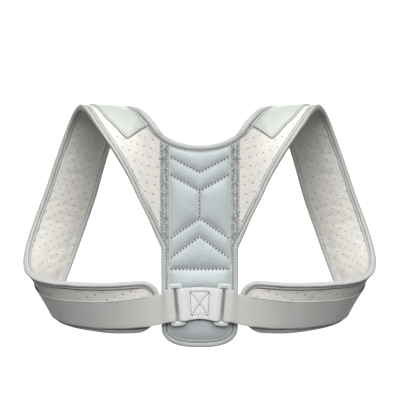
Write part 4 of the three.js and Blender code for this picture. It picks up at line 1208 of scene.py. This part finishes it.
@dataclass
class QuiltedPanel:
    """Quilted cover: artificial leather over wadding, pinned down along its seams and swollen between them.

    Attributes:
        columns: columns of points across.
        band_rows: rows of points in each band between two seams.
        surplus: extra length of the leather from seam to seam, as a share.
        slack: extra length in every direction, which puckers it along the seams.
        pressure: of the wadding on the leather.
        swell: how much higher than in the solids a puff may rise.
        hem: width of the flat edge outside the border's stitches.
        scale, frames: how much larger the sheet is while it is simulated, and for how many frames.
        seam_lift, border_lift: lift of the stitches off the leather's sewn level, along the seams and the border.
        pressed, pressed_zone: how far the webbing presses the puff down, and where its pressure starts to fade and
            ends, as distances from the webbing's middle.
        low_reach, low_zone: how much further the cover reaches toward the binding, and the depths below the
            shoulders where that starts and is complete.
    """

    columns: int = 61
    band_rows: tuple = (16, 15, 22, 16, 24, 46)
    surplus: float = 0.075
    slack: float = 0.012
    pressure: float = 60.0
    swell: float = 1.2
    hem: float = 1.8
    scale: float = 10.0
    frames: int = 20
    pressed: float = 0.7
    pressed_zone: tuple = (11.0, 27.0)
    low_reach: float = 1.3
    low_zone: tuple = (183.0, 190.0)
    seam_lift: float = 1.5
    border_lift: float = -0.45

    def lines(self, x: Array) -> Array:
        """Heights of the top edge, the five seams and the bottom edge at distances from the middle."""
        x = np.abs(np.asarray(x, float))
        slope = np.abs(collar_z(x + 0.5) - collar_z(np.abs(x - 0.5)))
        top = collar_z(x) - BINDING_REACH * np.hypot(1, slope)
        share = x / QUILT_HALF
        seams = [COLLAR_Z - BASE_HEIGHT * mix(middle, side, share) for middle, side in QUILT_SEAMS]
        low = np.minimum(1, x / max(BASE_HALF - BINDING_REACH, QUILT_HALF + GAP)) ** TAIL_ROUNDNESS
        bottom = TAIL_TOP - (TAIL_HEIGHT - BINDING_REACH) * (1 - low) ** (1 / TAIL_ROUNDNESS)
        return np.stack([top, *seams, bottom])

    def flat_grid(self) -> tuple[Array, Array]:
        """Flat places of the grid and its pinned points."""
        x = np.linspace(-QUILT_HALF, QUILT_HALF, self.columns)
        lines = self.lines(x)
        self.bands = np.repeat(np.arange(len(self.band_rows) + 1), [*self.band_rows, 1])
        self.shares = np.concatenate([*(np.arange(count) / count for count in self.band_rows), [0.0]])
        low = np.minimum(self.bands + 1, len(lines) - 1)
        z = mix(lines[self.bands], lines[low], self.shares[:, None])
        pinned = np.zeros(z.shape, bool)
        pinned[self.shares == 0] = True
        pinned[:, [0, 1, -2, -1]] = True
        pinned[[0, 1, -2, -1]] = True
        pinned[self.bands == SPLIT_BAND, self.columns // 2] = True
        return np.stack([np.broadcast_to(x, z.shape), z], -1), pinned

    def swollen(self, flat: Array, pinned: Array) -> Array:
        """Runs the cloth under pressure, and returns its moved points in the order across, outward, up."""
        rows, columns = pinned.shape
        points = np.stack([flat[..., 0], np.zeros_like(flat[..., 0]), flat[..., 1]], -1).reshape(-1, 3)
        mesh = bpy.data.meshes.new("leather_sheet")
        mesh.from_pydata((points * MM * self.scale).tolist(), [], grid_faces(rows, columns))
        sheet = bpy.data.objects.new("leather_sheet", mesh)
        bpy.context.scene.collection.objects.link(sheet)
        sheet.shape_key_add(name="sewn")
        longer = sheet.shape_key_add(name="unsewn")
        longer.data.foreach_set("co", (points * (1, 1, 1 + self.surplus) * MM * self.scale).ravel())
        group = sheet.vertex_groups.new(name="sewn")
        group.add(np.flatnonzero(pinned.ravel()).tolist(), 1.0, "REPLACE")
        modifier = sheet.modifiers.new("cloth", "CLOTH")
        leather = {"quality": 6, "mass": 0.02, "tension_stiffness": 12, "compression_stiffness": 12,
                   "shear_stiffness": 4, "bending_stiffness": 6, "tension_damping": 6, "compression_damping": 6,
                   "shear_damping": 6, "bending_damping": 0.8, "air_damping": 2, "vertex_group_mass": "sewn",
                   "shrink_min": -self.slack, "rest_shape_key": longer, "use_pressure": True,
                   "uniform_pressure_force": self.pressure}
        for name, value in leather.items():
            setattr(modifier.settings, name, value)
        modifier.settings.effector_weights.gravity = 0
        modifier.collision_settings.use_collision = False
        modifier.point_cache.frame_start, modifier.point_cache.frame_end = 1, self.frames
        scene = bpy.context.scene
        for moment in range(1, self.frames + 1):
            scene.frame_set(moment)
        evaluated = sheet.evaluated_get(bpy.context.evaluated_depsgraph_get())
        moved = np.empty(len(points) * 3, np.float32)
        evaluated.data.vertices.foreach_get("co", moved)
        scene.frame_set(1)
        bpy.data.objects.remove(sheet)
        return moved.reshape(rows, columns, 3) / (MM * self.scale)

    def draft(self) -> Draft:
        """The cover as a closed body, flat at the back."""
        flat, pinned = self.flat_grid()
        moved = self.swollen(flat, pinned)
        rise, across, up = moved[..., 1], moved[..., 0], moved[..., 2]
        LOG.info("quilt: the simulated puffs rise by up to %.1f mm", float(rise.max()))
        highest = QUILT_PUFF + self.swell
        rise = highest * np.tanh(np.maximum(rise, 0) / highest)
        beside = ease(np.abs(up + WAIST_DROP), *self.pressed_zone)
        rise = rise * mix(1 - self.pressed, 1, beside)
        grooves = Creases(5, (-37, -272), (37, -40), 110, (90, 50), 6, 1.7, 0.3).at(flat)
        rise = rise + grooves * ease(rise, 0.6, 2.6)
        wider = 1 + self.low_reach / QUILT_HALF * ease(-flat[..., 1], *self.low_zone)
        top = np.stack([across * wider, QUILT_BACK_Y - QUILT_SEAM_THICKNESS - rise, up], -1)
        bottom = np.stack([flat[..., 0] * wider, np.full_like(across, QUILT_BACK_Y), flat[..., 1]], -1)
        self.top = top
        return shell(top, bottom, flat)

    def seam_lines(self) -> Lines:
        """Lines of the stitches along the seams and round the border."""
        lines = []

        def add(x: Array, z: Array, lift: float) -> None:
            """Adds one line at a lift off the leather's sewn level."""
            y = np.full_like(x, QUILT_BACK_Y - QUILT_SEAM_THICKNESS - lift)
            lines.append((np.stack([x, y, z], -1), np.tile(BACKWARD, (len(x), 1))))

        x = np.linspace(-QUILT_HALF + self.hem, QUILT_HALF - self.hem, 90)
        heights = self.lines(x)
        for number in range(1, len(QUILT_SEAMS) + 1):
            add(x, heights[number] + 0.1, self.seam_lift)
        ends = self.lines(0.0)
        upright = np.linspace(ends[SPLIT_BAND], ends[SPLIT_BAND + 1], 30)
        add(np.zeros(30), upright, self.seam_lift)
        inset = QUILT_HALF - self.hem
        for side in (-inset, inset):
            ends = self.lines(side)
            z = np.linspace(ends[0] - self.hem, ends[-1] + self.hem, 120)
            add(np.full(len(z), side), z, self.border_lift)
        add(x, heights[-1] + self.hem, self.border_lift)
        return lines

    def build(self, builder: Builder) -> None:
        """Makes the cover with its stitches."""
        cover = self.draft().make("quilted_cover", [builder.material(QUILT_LEATHER)] * 2)
        builder.keep(cover, QUILT_LEATHER, "quilted_panel")
        builder.sew("quilt_stitches", self.seam_lines(), SHADED_THREAD, QUILT_LEATHER, pitch=4.2, width=1.5,
                    height=1.6, fill=0.55)


@dataclass
class SeamTape:
    """Grainy tape over one seam between the base and a strap, sewn with two rows of zigzag.

    Attributes:
        rows, columns: of points.
        lowest: height of its lower end.
        crown: how far it bulges between its edges.
        zigzag, leg: half width of a row of zigzag, and height of one stitch in it.
        places: shares of the width where the rows run.
    """

    rows: int = 90
    columns: int = 11
    lowest: float = -182.0
    crown: float = 0.7
    zigzag: float = 1.25
    leg: float = 2.3
    places: tuple = (0.28, 0.72)

    def ends(self, x: Array) -> tuple[Array, Array]:
        """Heights of the tape's top and bottom at distances from the middle, negative on the left."""
        inside = RIM.points + RIM.inward * (BINDING_REACH + GAP)
        above = inside[:RIM.outer.start + 12]
        order = np.argsort(above[:, 0])
        top = np.interp(x, above[order, 0], above[order, 2])
        line = inside[RIM.arm_start:RIM.side.stop]
        line = line[(line[:, 2] < -100) & (line[:, 0] > -60)]
        order = np.argsort(line[:, 0])
        bottom = np.interp(x, line[order, 0], line[order, 2])
        return top, np.maximum(bottom, self.lowest)

    def draft(self) -> Draft:
        """The left tape as a closed body."""
        x = np.linspace(-QUILT_HALF - GAP, -QUILT_HALF - GAP - TAPE_WIDTH, self.columns)
        top, bottom = self.ends(x)
        share = np.linspace(0, 1, self.rows)[:, None]
        z = mix(top[None], bottom[None], share)
        x = np.broadcast_to(x, z.shape)
        across = np.linspace(-1, 1, self.columns)[None]
        dome = self.crown * (1 - across ** 4) + 0.12 * np.sin(z / 2.1) * (1 - across ** 2)
        outer = np.stack([x, QUILT_BACK_Y - TAPE_THICKNESS - dome, z], -1)
        inner = np.stack([x, np.full_like(x, QUILT_BACK_Y + 0.2), z], -1)
        return shell(outer, inner, np.stack([z, x], -1))

    def length(self) -> float:
        """The tape's length along its middle."""
        top, bottom = self.ends(np.array([-QUILT_HALF - GAP - TAPE_WIDTH / 2]))
        return float(top[0] - bottom[0])

    def stitch_lines(self) -> Lines:
        """Two zigzags down the tape."""
        lines = []
        for place in self.places:
            middle = -QUILT_HALF - GAP - TAPE_WIDTH * place
            top, bottom = self.ends(np.array([middle]))
            z = np.arange(top[0] - 1.5, bottom[0] + 1.5, -self.leg)
            x = middle + self.zigzag * np.where(np.arange(len(z)) % 2, 1, -1)
            y = np.full_like(z, QUILT_BACK_Y - TAPE_THICKNESS - 0.72)
            lines.append((np.stack([x, y, z], -1), np.tile(BACKWARD, (len(z), 1))))
        return lines

    def build(self, builder: Builder) -> None:
        """Makes both tapes with their zigzags."""
        for name, side in SIDES:
            strip = on_side(self.draft(), side).make(f"grainy_tape_{name}", [builder.material(SEAM_TERRY)] * 2)
            builder.keep(strip, SEAM_TERRY, f"seam_tape_{name}")
            self.length() * MM
            builder.sew(f"tape_stitches_{name}", self.stitch_lines(), THREAD, SEAM_TERRY, side,
                        width=0.8, height=0.6, fill=0.9, corners=True)


@dataclass
class ShoulderPatch:
    """Smooth tab sewn on the strap over the shoulder's crest.

    Attributes:
        rows, columns: of points.
        height: of its face above the pad.
        inset: distance of the stitches from the edge.
        corner: radius of its corners.
    """

    rows: int = 90
    columns: int = 33
    height: float = 1.9
    inset: float = 2.4
    corner: float = 3.4

    def spots(self, rows: Array, columns: Array) -> tuple[Array, Array]:
        """Sections and shares across at places along and across the patch, both from 0 to 1."""
        lines = [SmoothEdge(PATCH_ROWS[:, pair:pair + 2]).at(rows * (len(PATCH_ROWS) - 1)) for pair in (0, 2, 4)]
        near, middle, far = (line[:, None] for line in lines)
        t = np.atleast_2d(columns)[..., None]
        spot = near * (1 - t) * (1 - 2 * t) + middle * 4 * t * (1 - t) + far * t * (2 * t - 1)
        return spot[..., 0], spot[..., 1]

    def surface(self, rows: Array, columns: Array, lift: float) -> tuple[Array, Array]:
        """Points at a lift above the pad, and the directions that they face."""
        section, share = self.spots(rows, columns)
        normal = SURFACE.normal(section, share)
        rise = PAD.half_at(section, share) + lift
        return SURFACE.point(section, share) + normal * rise[..., None], normal

    def draft(self) -> Draft:
        """The left patch as a closed body."""
        rows, columns = np.linspace(0, 1, self.rows), np.linspace(0, 1, self.columns)
        middle, normal = self.surface(rows, columns, 0.0)
        run = distances(middle[:, self.columns // 2])
        width = np.linalg.norm(middle[:, -1] - middle[:, 0], axis=1)
        self.flat = (float(width.mean()) * MM, float(run[-1]) * MM)
        short = np.clip(self.corner - np.minimum(run, run[-1] - run), 0, self.corner)
        trimmed = ((self.corner - np.sqrt(self.corner ** 2 - short ** 2)) / width)[:, None]
        across = mix(trimmed, 1 - trimmed, columns[None])
        middle, normal = self.surface(rows, across, 0.0)
        from_side = (np.minimum(across - trimmed, 1 - trimmed - across) * width[:, None])
        away = np.minimum(np.minimum(run, run[-1] - run)[:, None], from_side)
        chart = np.stack([np.broadcast_to(run[:, None], away.shape), across * width[:, None]], -1)
        rolled = np.sqrt(np.clip(away / 1.3, 0, 1) * (2 - np.clip(away / 1.3, 0, 1)))
        sewn = 0.35 * np.exp(-((away - self.inset) / 0.8) ** 2)
        relief = Creases(23, tuple(chart.min((0, 1))), tuple(chart.max((0, 1))), 26, (90, 35), 12, 3.2, 0.25)
        height = 0.2 + (self.height - 0.2) * rolled - sewn + relief.at(chart) * ease(away, 3, 8)
        return shell(middle + normal * height[..., None], middle - normal * 0.3, chart)

    def stitch_lines(self) -> Lines:
        """Line of stitches round the patch, a little in from its edge."""
        middle, _ = self.surface(np.linspace(0, 1, 120), np.array([0.0, 0.5, 1.0]), 0.0)
        length = np.linalg.norm(np.diff(middle[:, 1], axis=0), axis=1).sum()
        width = np.linalg.norm(middle[:, 2] - middle[:, 0], axis=1).mean()
        a, b = self.inset / length, self.inset / width
        along, across = np.linspace(a, 1 - a, 120), np.linspace(b, 1 - b, 30)
        lines = []
        for rows, columns in ((along, np.array([b])), (along, np.array([1 - b])), (np.array([a]), across),
                              (np.array([1 - a]), across)):
            points, normal = self.surface(rows, columns, self.height - 0.25)
            lines.append((points.reshape(-1, 3), normal.reshape(-1, 3)))
        return lines

    def build(self, builder: Builder) -> None:
        """Makes both patches with their edge stitches."""
        draft = self.draft()
        for name, side in SIDES:
            piece = on_side(draft, side).make(f"crest_patch_{name}", [builder.material(PATCH_CLOTH)] * 2)
            builder.keep(piece, PATCH_CLOTH, f"shoulder_patch_{name}")
            builder.sew(f"patch_stitches_{name}", self.stitch_lines(), THREAD, PATCH_CLOTH, side,
                        pitch=3.4, width=0.9, height=0.6, fill=0.62)


def waist_point(along: Array, height: Array, depth: Array) -> Array:
    """Points on the waist: distance along it, height above it and depth toward the back."""
    along, height, depth = np.broadcast_arrays(along, height, depth)
    bent = np.clip(along, -BEND_REACH, BEND_REACH)
    angle, straight, radius = bent / BEND_RADIUS, along - bent, BEND_RADIUS + height
    return np.stack([radius * np.sin(angle) + straight * np.cos(angle), WAIST_Y - depth,
                     radius * np.cos(angle) - BEND_RADIUS - WAIST_DROP - straight * np.sin(angle)], -1)


@dataclass
class Webbing:
    """Flat webbing: the band under one arm with its loop round the ring, and the doubled band between the rings.

    Attributes:
        step: spacing of the rows along it.
        half_columns: points across one face.
        turn_slack, side_slack: how far the doubled and the side band stand off the ring's bars at their turns.
        turn_rise: how much further the doubled band stands off the bars on its outer side.
        hem: distance of the stitches along the band from its edge.
        plain_reach: length of the side band without those stitches, up to the ring's bar.
        ply_depth: half the distance between the doubled band's two layers where they are sewn together.
        box: half width and half height of the boxed cross.
        sewn_depth: how deep the thread of the cross pulls in.
    """

    step: float = 1.5
    half_columns: int = 15
    turn_slack: float = 1.3
    turn_rise: float = 1.0
    side_slack: float = 0.9
    hem: float = 0.9
    plain_reach: float = 38.0
    ply_depth: float = 0.8
    box: tuple = (10.8, 14.5)
    sewn_depth: float = 0.5

    def section(self) -> tuple[Array, Array]:
        """Places across and lifts of the band's section, rounded at the selvages."""
        across = np.sin(np.linspace(-1, 1, self.half_columns) * math.pi / 2)
        across = mix(np.linspace(-1, 1, self.half_columns), across, 0.5)
        lift = WEBBING_HALF * (1 - 0.35 * np.abs(across) ** 14)
        return np.concatenate([across, across[::-1]]), np.concatenate([lift, -lift[::-1]])

    def band(self, low: Array, high: Array, closed: bool, relief: Array | None = None) -> Draft:
        """Band of webbing between two edge lines, with a relief on its outer face."""
        if closed:
            middle, across = (low + high) / 2, unit(high - low)
            normal = unit(np.cross(np.roll(middle, -1, 0) - np.roll(middle, 1, 0), across))
        else:
            middle, across, normal = frames_along(low, high)
        places, lifts = self.section()
        half = np.linalg.norm(high - low, axis=1) / 2
        lifts = np.broadcast_to(lifts, (len(middle), len(places)))
        if relief is not None:
            lifts = lifts + relief * (lifts > 0)
        place = half[:, None] * places
        loops = middle[:, None] + across[:, None] * place[..., None] + normal[:, None] * lifts[..., None]
        run = distances(middle)
        chart = np.stack(np.broadcast_arrays(run[:, None], place), -1)
        self.run = float(run[-1])
        return tube(loops, chart, capped=not closed)

    @staticmethod
    def route_row(section: float, layer: float) -> tuple[Array, Array]:
        """Both edges of the band where it lies on the pad."""
        shift = np.interp(section, WEBBING_ROUTE[:, 0], WEBBING_ROUTE[:, 1])
        rise = np.interp(section, WEBBING_ROUTE[:, 0], WEBBING_ROUTE[:, 2])
        width = np.linalg.norm(SURFACE.across(section))
        middle = 0.5 + shift * STRAP_WIDTH / width
        seated = max(BINDING_LIFT, CLOTH_HALF + STRAP_PUFF) + WEBBING_SEAT + WEBBING_THICKNESS + GAP / 2
        lift = mix(seated, PANEL_Y - WAIST_Y, rise) + layer * (WEBBING_HALF + GAP / 2)
        edges = []
        for side in (-1, 1):
            share = middle + side * WEBBING_WIDTH / 2 / width
            edges.append(SURFACE.point(section, share) + SURFACE.normal(section, share) * lift)
        centre, across = (edges[0] + edges[1]) / 2, unit(edges[1] - edges[0])
        return centre - across * WEBBING_WIDTH / 2, centre + across * WEBBING_WIDTH / 2

    @staticmethod
    def bar_row(along: float, depth: float) -> tuple[Array, Array]:
        """Both edges of the band where it turns round the ring's outer bar."""
        place = -(RING_SPACING / 2 + BAR_OFFSET) + along
        return (waist_point(place, -WEBBING_WIDTH / 2, depth), waist_point(place, WEBBING_WIDTH / 2, depth))

    def side_rows(self) -> Lines:
        """Rows of the side band: along the pad, round the bar and back under itself."""
        rows = []
        for section in np.arange(WEBBING_ROUTE[0, 0], SURFACE.spans + 0.01, 0.5):
            rows.append(self.route_row(section, mix(-1.0, 1.0, float(ease(section, 20, 21)))))
        rows.append(self.bar_row(-RING_BAR, LOOP_RADIUS_Y * 0.85))
        for angle in np.linspace(0, math.pi, 11):
            reach = LOOP_RADIUS_X + self.side_slack
            rows.append(self.bar_row(reach * math.sin(angle), LOOP_RADIUS_Y * math.cos(angle)))
        rows.append(self.bar_row(-RING_BAR, -LOOP_RADIUS_Y * 0.85))
        last = float(SURFACE.section_at(SURFACE.length - RETURN_LENGTH))
        rows += [self.route_row(section, -1.0) for section in (22, 21.5, last)]
        return rows

    def side_draft(self) -> Draft:
        """The left side band."""
        rows = self.side_rows()
        low, high = np.array([r[0] for r in rows]), np.array([r[1] for r in rows])
        spans = np.linalg.norm(np.diff((low + high) / 2, axis=0), axis=1)
        places = np.concatenate([np.linspace(i, i + 1, max(2, int(s / self.step) + 1), endpoint=False)
                                 for i, s in enumerate(spans)] + [[len(spans)]])
        self.low, self.high = SmoothEdge(low).at(places), SmoothEdge(high).at(places)
        wave = 0.25 * np.sin(places * 2.1) * (places < 12)
        shift = frames_along(self.low, self.high)[2] * wave[:, None]
        return self.band(self.low + shift, self.high + shift, closed=False)

    def centre_draft(self) -> Draft:
        """The doubled band between the rings, one loop of webbing pulled flat and sewn in its middle."""
        shoulder = BAR_PLACE - RING_BAR / 2
        x = np.linspace(0, shoulder, 20)[:-1]
        angles = np.linspace(math.pi / 2, 0, 16)
        reach = BAR_PLACE + LOOP_RADIUS_X + self.turn_slack - shoulder
        halves = []
        for rise in (LOOP_RADIUS_Y + self.turn_rise, LOOP_RADIUS_Y):
            depth = mix(self.ply_depth, rise, ease(x, shoulder - CENTER_LOOP_TAPER, shoulder))
            halves.append(np.stack([np.concatenate([x, shoulder + reach * np.cos(angles)]),
                                    np.concatenate([depth, rise * np.sin(angles)])], -1))
        right = np.concatenate([halves[0], halves[1][-2::-1] * (1, -1)])
        path = np.concatenate([right, right[-2:0:-1] * (-1, 1)])
        # The loop's two ends meet at the middle of its hidden side
        path = np.roll(path, -(len(right) - 1), axis=0)
        pull = 1 - 0.05 * np.exp(-(path[:, 0] / 10) ** 2)
        half = WEBBING_WIDTH / 2
        x, z = path[:, :1], self.section()[0][None] * half
        wide, high = self.box
        inside = (np.abs(x) < wide + 1) & (np.abs(z) < high + 1) & (path[:, 1:] > 0)
        crossed = np.abs(np.abs(x) * high - np.abs(z) * wide) / math.hypot(wide, high)
        near = np.minimum(crossed, np.minimum(np.abs(np.abs(x) - wide), np.abs(np.abs(z) - high)))
        relief = -self.sewn_depth * np.exp(-(near / 1.5) ** 2) * inside
        low, high = waist_point(path[:, 0], -half * pull, path[:, 1]), waist_point(path[:, 0], half, path[:, 1])
        return self.band(low, high, closed=True, relief=relief)

    def box_lines(self) -> Lines:
        """Boxed cross sewn through the band between the rings, seen on both faces."""
        x, z = self.box
        corners = [((-x, -z), (x, -z)), ((x, -z), (x, z)), ((x, z), (-x, z)), ((-x, z), (-x, -z)),
                   ((-x, -z), (x, z)), ((-x, z), (x, -z))]
        lines = []
        for depth in (1, -1):
            for start, end in corners:
                spot = mix(np.array(start)[None], np.array(end)[None], np.linspace(0, 1, 24)[:, None])
                points = waist_point(spot[:, 0], spot[:, 1], depth * (self.ply_depth + WEBBING_HALF - 0.15))
                lines.append((points, np.tile(BACKWARD * depth, (len(points), 1))))
        return lines

    def side_lines(self) -> Lines:
        """Rows of stitches across the side band's front end, and where its return is sewn down."""
        middle, across, normal = frames_along(self.low, self.high)
        run = distances(middle)
        bar = middle[:, 0].argmax()
        lines = []
        for place in (3.5, 9.0):
            row = int(np.searchsorted(run, place))
            shares = np.linspace(-0.44, 0.44, 24)[:, None]
            facing = normal[row] if (normal[row] @ SURFACE.normal(19.0, 0.5)) > 0 else -normal[row]
            points = middle[row] + across[row] * shares * WEBBING_WIDTH + facing * (WEBBING_HALF + 0.08)
            lines.append((points, np.tile(facing, (len(points), 1))))
        rows = slice(*(int(np.searchsorted(run, place)) for place in (2.0, run[bar] - self.plain_reach)))
        turned = np.sign((normal[rows] * SURFACE.normal(19.0, 0.5)).sum(-1, keepdims=True))
        facing = normal[rows] * turned
        for side in (-1, 1):
            away = across[rows] * side * (WEBBING_WIDTH / 2 - self.hem)
            lines.append((middle[rows] + away + facing * (WEBBING_HALF + 0.05), facing))
        return lines

    def build_sides(self, builder: Builder) -> None:
        """Makes both side bands with their stitches and rings."""
        draft, ring = self.side_draft(), Ring().draft()
        for name, side in SIDES:
            band = on_side(draft, side).make(f"side_webbing_{name}", [builder.material(NYLON_WEBBING)])
            builder.keep(band, NYLON_WEBBING, f"side_strap_{name}")
            builder.sew(f"webbing_stitches_{name}", self.side_lines(), THREAD, NYLON_WEBBING, side,
                        pitch=2.4, width=0.8, height=0.5, fill=0.8)
            frame_ring = on_side(ring, side).make(f"plastic_ring_{name}", [builder.material(ACETAL)])
            builder.keep(frame_ring, ACETAL, f"ring_{name}")

    def build_centre(self, builder: Builder) -> None:
        """Makes the doubled band with its boxed cross."""
        centre = self.centre_draft().make("ring_webbing", [builder.material(LIT_DOUBLED_WEBBING)])
        builder.keep(centre, LIT_DOUBLED_WEBBING, "center_webbing")
        builder.sew("boxed_cross_stitches", self.box_lines(), SHADED_THREAD, NYLON_WEBBING, pitch=3.0, width=1.3,
                    height=0.8, fill=0.55)


@dataclass
class Ring:
    """Rounded rectangular ring of glossy plastic.

    Attributes:
        corner_steps, side_steps, section_steps: points in a corner, on a side and round the bar.
        roundness: exponent of the bar's rounded section, 1 for an ellipse.
    """

    corner_steps: int = 12
    side_steps: int = 8
    section_steps: int = 20
    roundness: float = 0.62

    def outline(self, width: float, height: float, corner: float) -> Array:
        """Points round a rounded rectangle, in the same count for any size."""
        points = []
        centres = ((1, 1, 0), (-1, 1, 90), (-1, -1, 180), (1, -1, 270))
        for sx, sz, start in centres:
            centre = np.array([sx * (width / 2 - corner), sz * (height / 2 - corner)])
            angles = np.radians(start + np.linspace(0, 90, self.corner_steps))
            points.append(centre + corner * np.stack([np.cos(angles), np.sin(angles)], -1))
        closed = []
        for arc, following in zip(points, points[1:] + points[:1]):
            steps = np.linspace(0, 1, self.side_steps + 2)[1:-1, None]
            closed += [arc, mix(arc[-1], following[0], steps)]
        return np.concatenate(closed)

    def draft(self) -> Draft:
        """The left ring."""
        outer = self.outline(RING_WIDTH, RING_HEIGHT, RING_CORNER)
        inner = self.outline(RING_WIDTH - 2 * RING_BAR, RING_HEIGHT - 2 * RING_END_BAR, RING_HOLE_CORNER)
        angles = np.linspace(0, 2 * math.pi, self.section_steps, endpoint=False)
        out, lift = (np.sign(v) * np.abs(v) ** self.roundness for v in (np.cos(angles), np.sin(angles)))
        lift = lift * RING_THICKNESS / 2
        place = mix(inner[:, None], outer[:, None], ((out + 1) / 2)[None, :, None])
        turn = -WAIST_BEND
        x = place[..., 0] * math.cos(turn) + place[..., 1] * math.sin(turn)
        z = place[..., 1] * math.cos(turn) - place[..., 0] * math.sin(turn)
        centre = waist_point(-RING_SPACING / 2, 0.0, 0.0)
        loops = np.stack([x, np.broadcast_to(lift, x.shape), z], -1) + centre
        return tube(loops, place, capped=False)


@dataclass
class Studio:
    """Pale floor, soft light and the photograph's camera.

    Attributes:
        floor_drop, floor_reach: the floor's distance below the shoulders and half its width, in metres.
        distance: camera to the point that it looks at, in metres.
        look_height: that point's height, in metres.
        downward: the camera's downward angle in degrees.
        lens: focal length in millimetres on a 36 mm sensor.
        shift: the camera's sideways shift.
        lights: name, turn in degrees and strength of each light.
        softness: the lights' angular width in degrees.
        sky: strength of the light from all round.
    """

    floor_drop: float = 1.35
    floor_reach: float = 60.0
    distance: float = 2.475
    look_height: float = -0.1117
    downward: float = 8.0
    lens: float = 180.0
    shift: float = 0.00075
    lights: tuple = (("high_key", (25, 0, 0), 2.2), ("left_key", (56, 0, -16), 1.18),
                     ("right_key", (56, 0, 16), 1.18), ("front_fill", (-80, 0, 0), 1.7))
    softness: float = 30.0
    sky: float = 0.07

    def build(self) -> None:
        """Makes the floor, the lights and the camera."""
        scene = bpy.context.scene
        paper = Finish("matt_studio_paper", Pattern.FLECK, "#FBFBFB", "#F8F8F8", 0.95, 0.0).build()
        mesh = bpy.data.meshes.new("studio_floor")
        corners = [(x * self.floor_reach, y * self.floor_reach, -self.floor_drop)
                   for x, y in ((-1, -1), (1, -1), (1, 1), (-1, 1))]
        mesh.from_pydata(corners, [], [(0, 1, 2, 3)])
        mesh.materials.append(paper)
        floor = bpy.data.objects.new("studio_floor", mesh)
        scene.collection.objects.link(floor)
        floor.visible_diffuse = False
        world = bpy.data.worlds.new("studio")
        world.use_nodes = True
        back = world.node_tree.nodes["Background"]
        back.inputs["Color"].default_value = (1, 1, 1, 1)
        back.inputs["Strength"].default_value = self.sky
        scene.world = world
        for name, turn, strength in self.lights:
            light = bpy.data.lights.new(name, "SUN")
            light.energy = strength
            light.angle = math.radians(self.softness)
            lamp = bpy.data.objects.new(name, light)
            lamp.rotation_euler = [math.radians(a) for a in turn]
            scene.collection.objects.link(lamp)
        camera = bpy.data.cameras.new("photo_camera")
        camera.sensor_width = 36.0
        camera.lens = self.lens
        camera.shift_x = self.shift
        camera.clip_end = 200.0
        view = bpy.data.objects.new("photo_camera", camera)
        tilt = math.radians(self.downward)
        view.location = (0, -self.distance * math.cos(tilt), self.look_height + self.distance * math.sin(tilt))
        view.rotation_euler = (math.pi / 2 - tilt, 0, 0)
        scene.collection.objects.link(view)
        scene.camera = view
        scene.view_settings.view_transform = "Standard"
        scene.view_settings.look = "None"


def main() -> None:
    """Builds the studio and then the pieces in order."""
    logging.basicConfig(level=logging.INFO, format="%(name)s %(message)s")
    builder = Builder()
    Studio().build()
    for assembly in (PAD, EdgeBinding(), BackPanel(), QuiltedPanel(), SeamTape(), ShoulderPatch()):
        assembly.build(builder)
    Webbing().build_sides(builder)
    Webbing(half_columns=45).build_centre(builder)


if __name__ == "__main__":
    main()
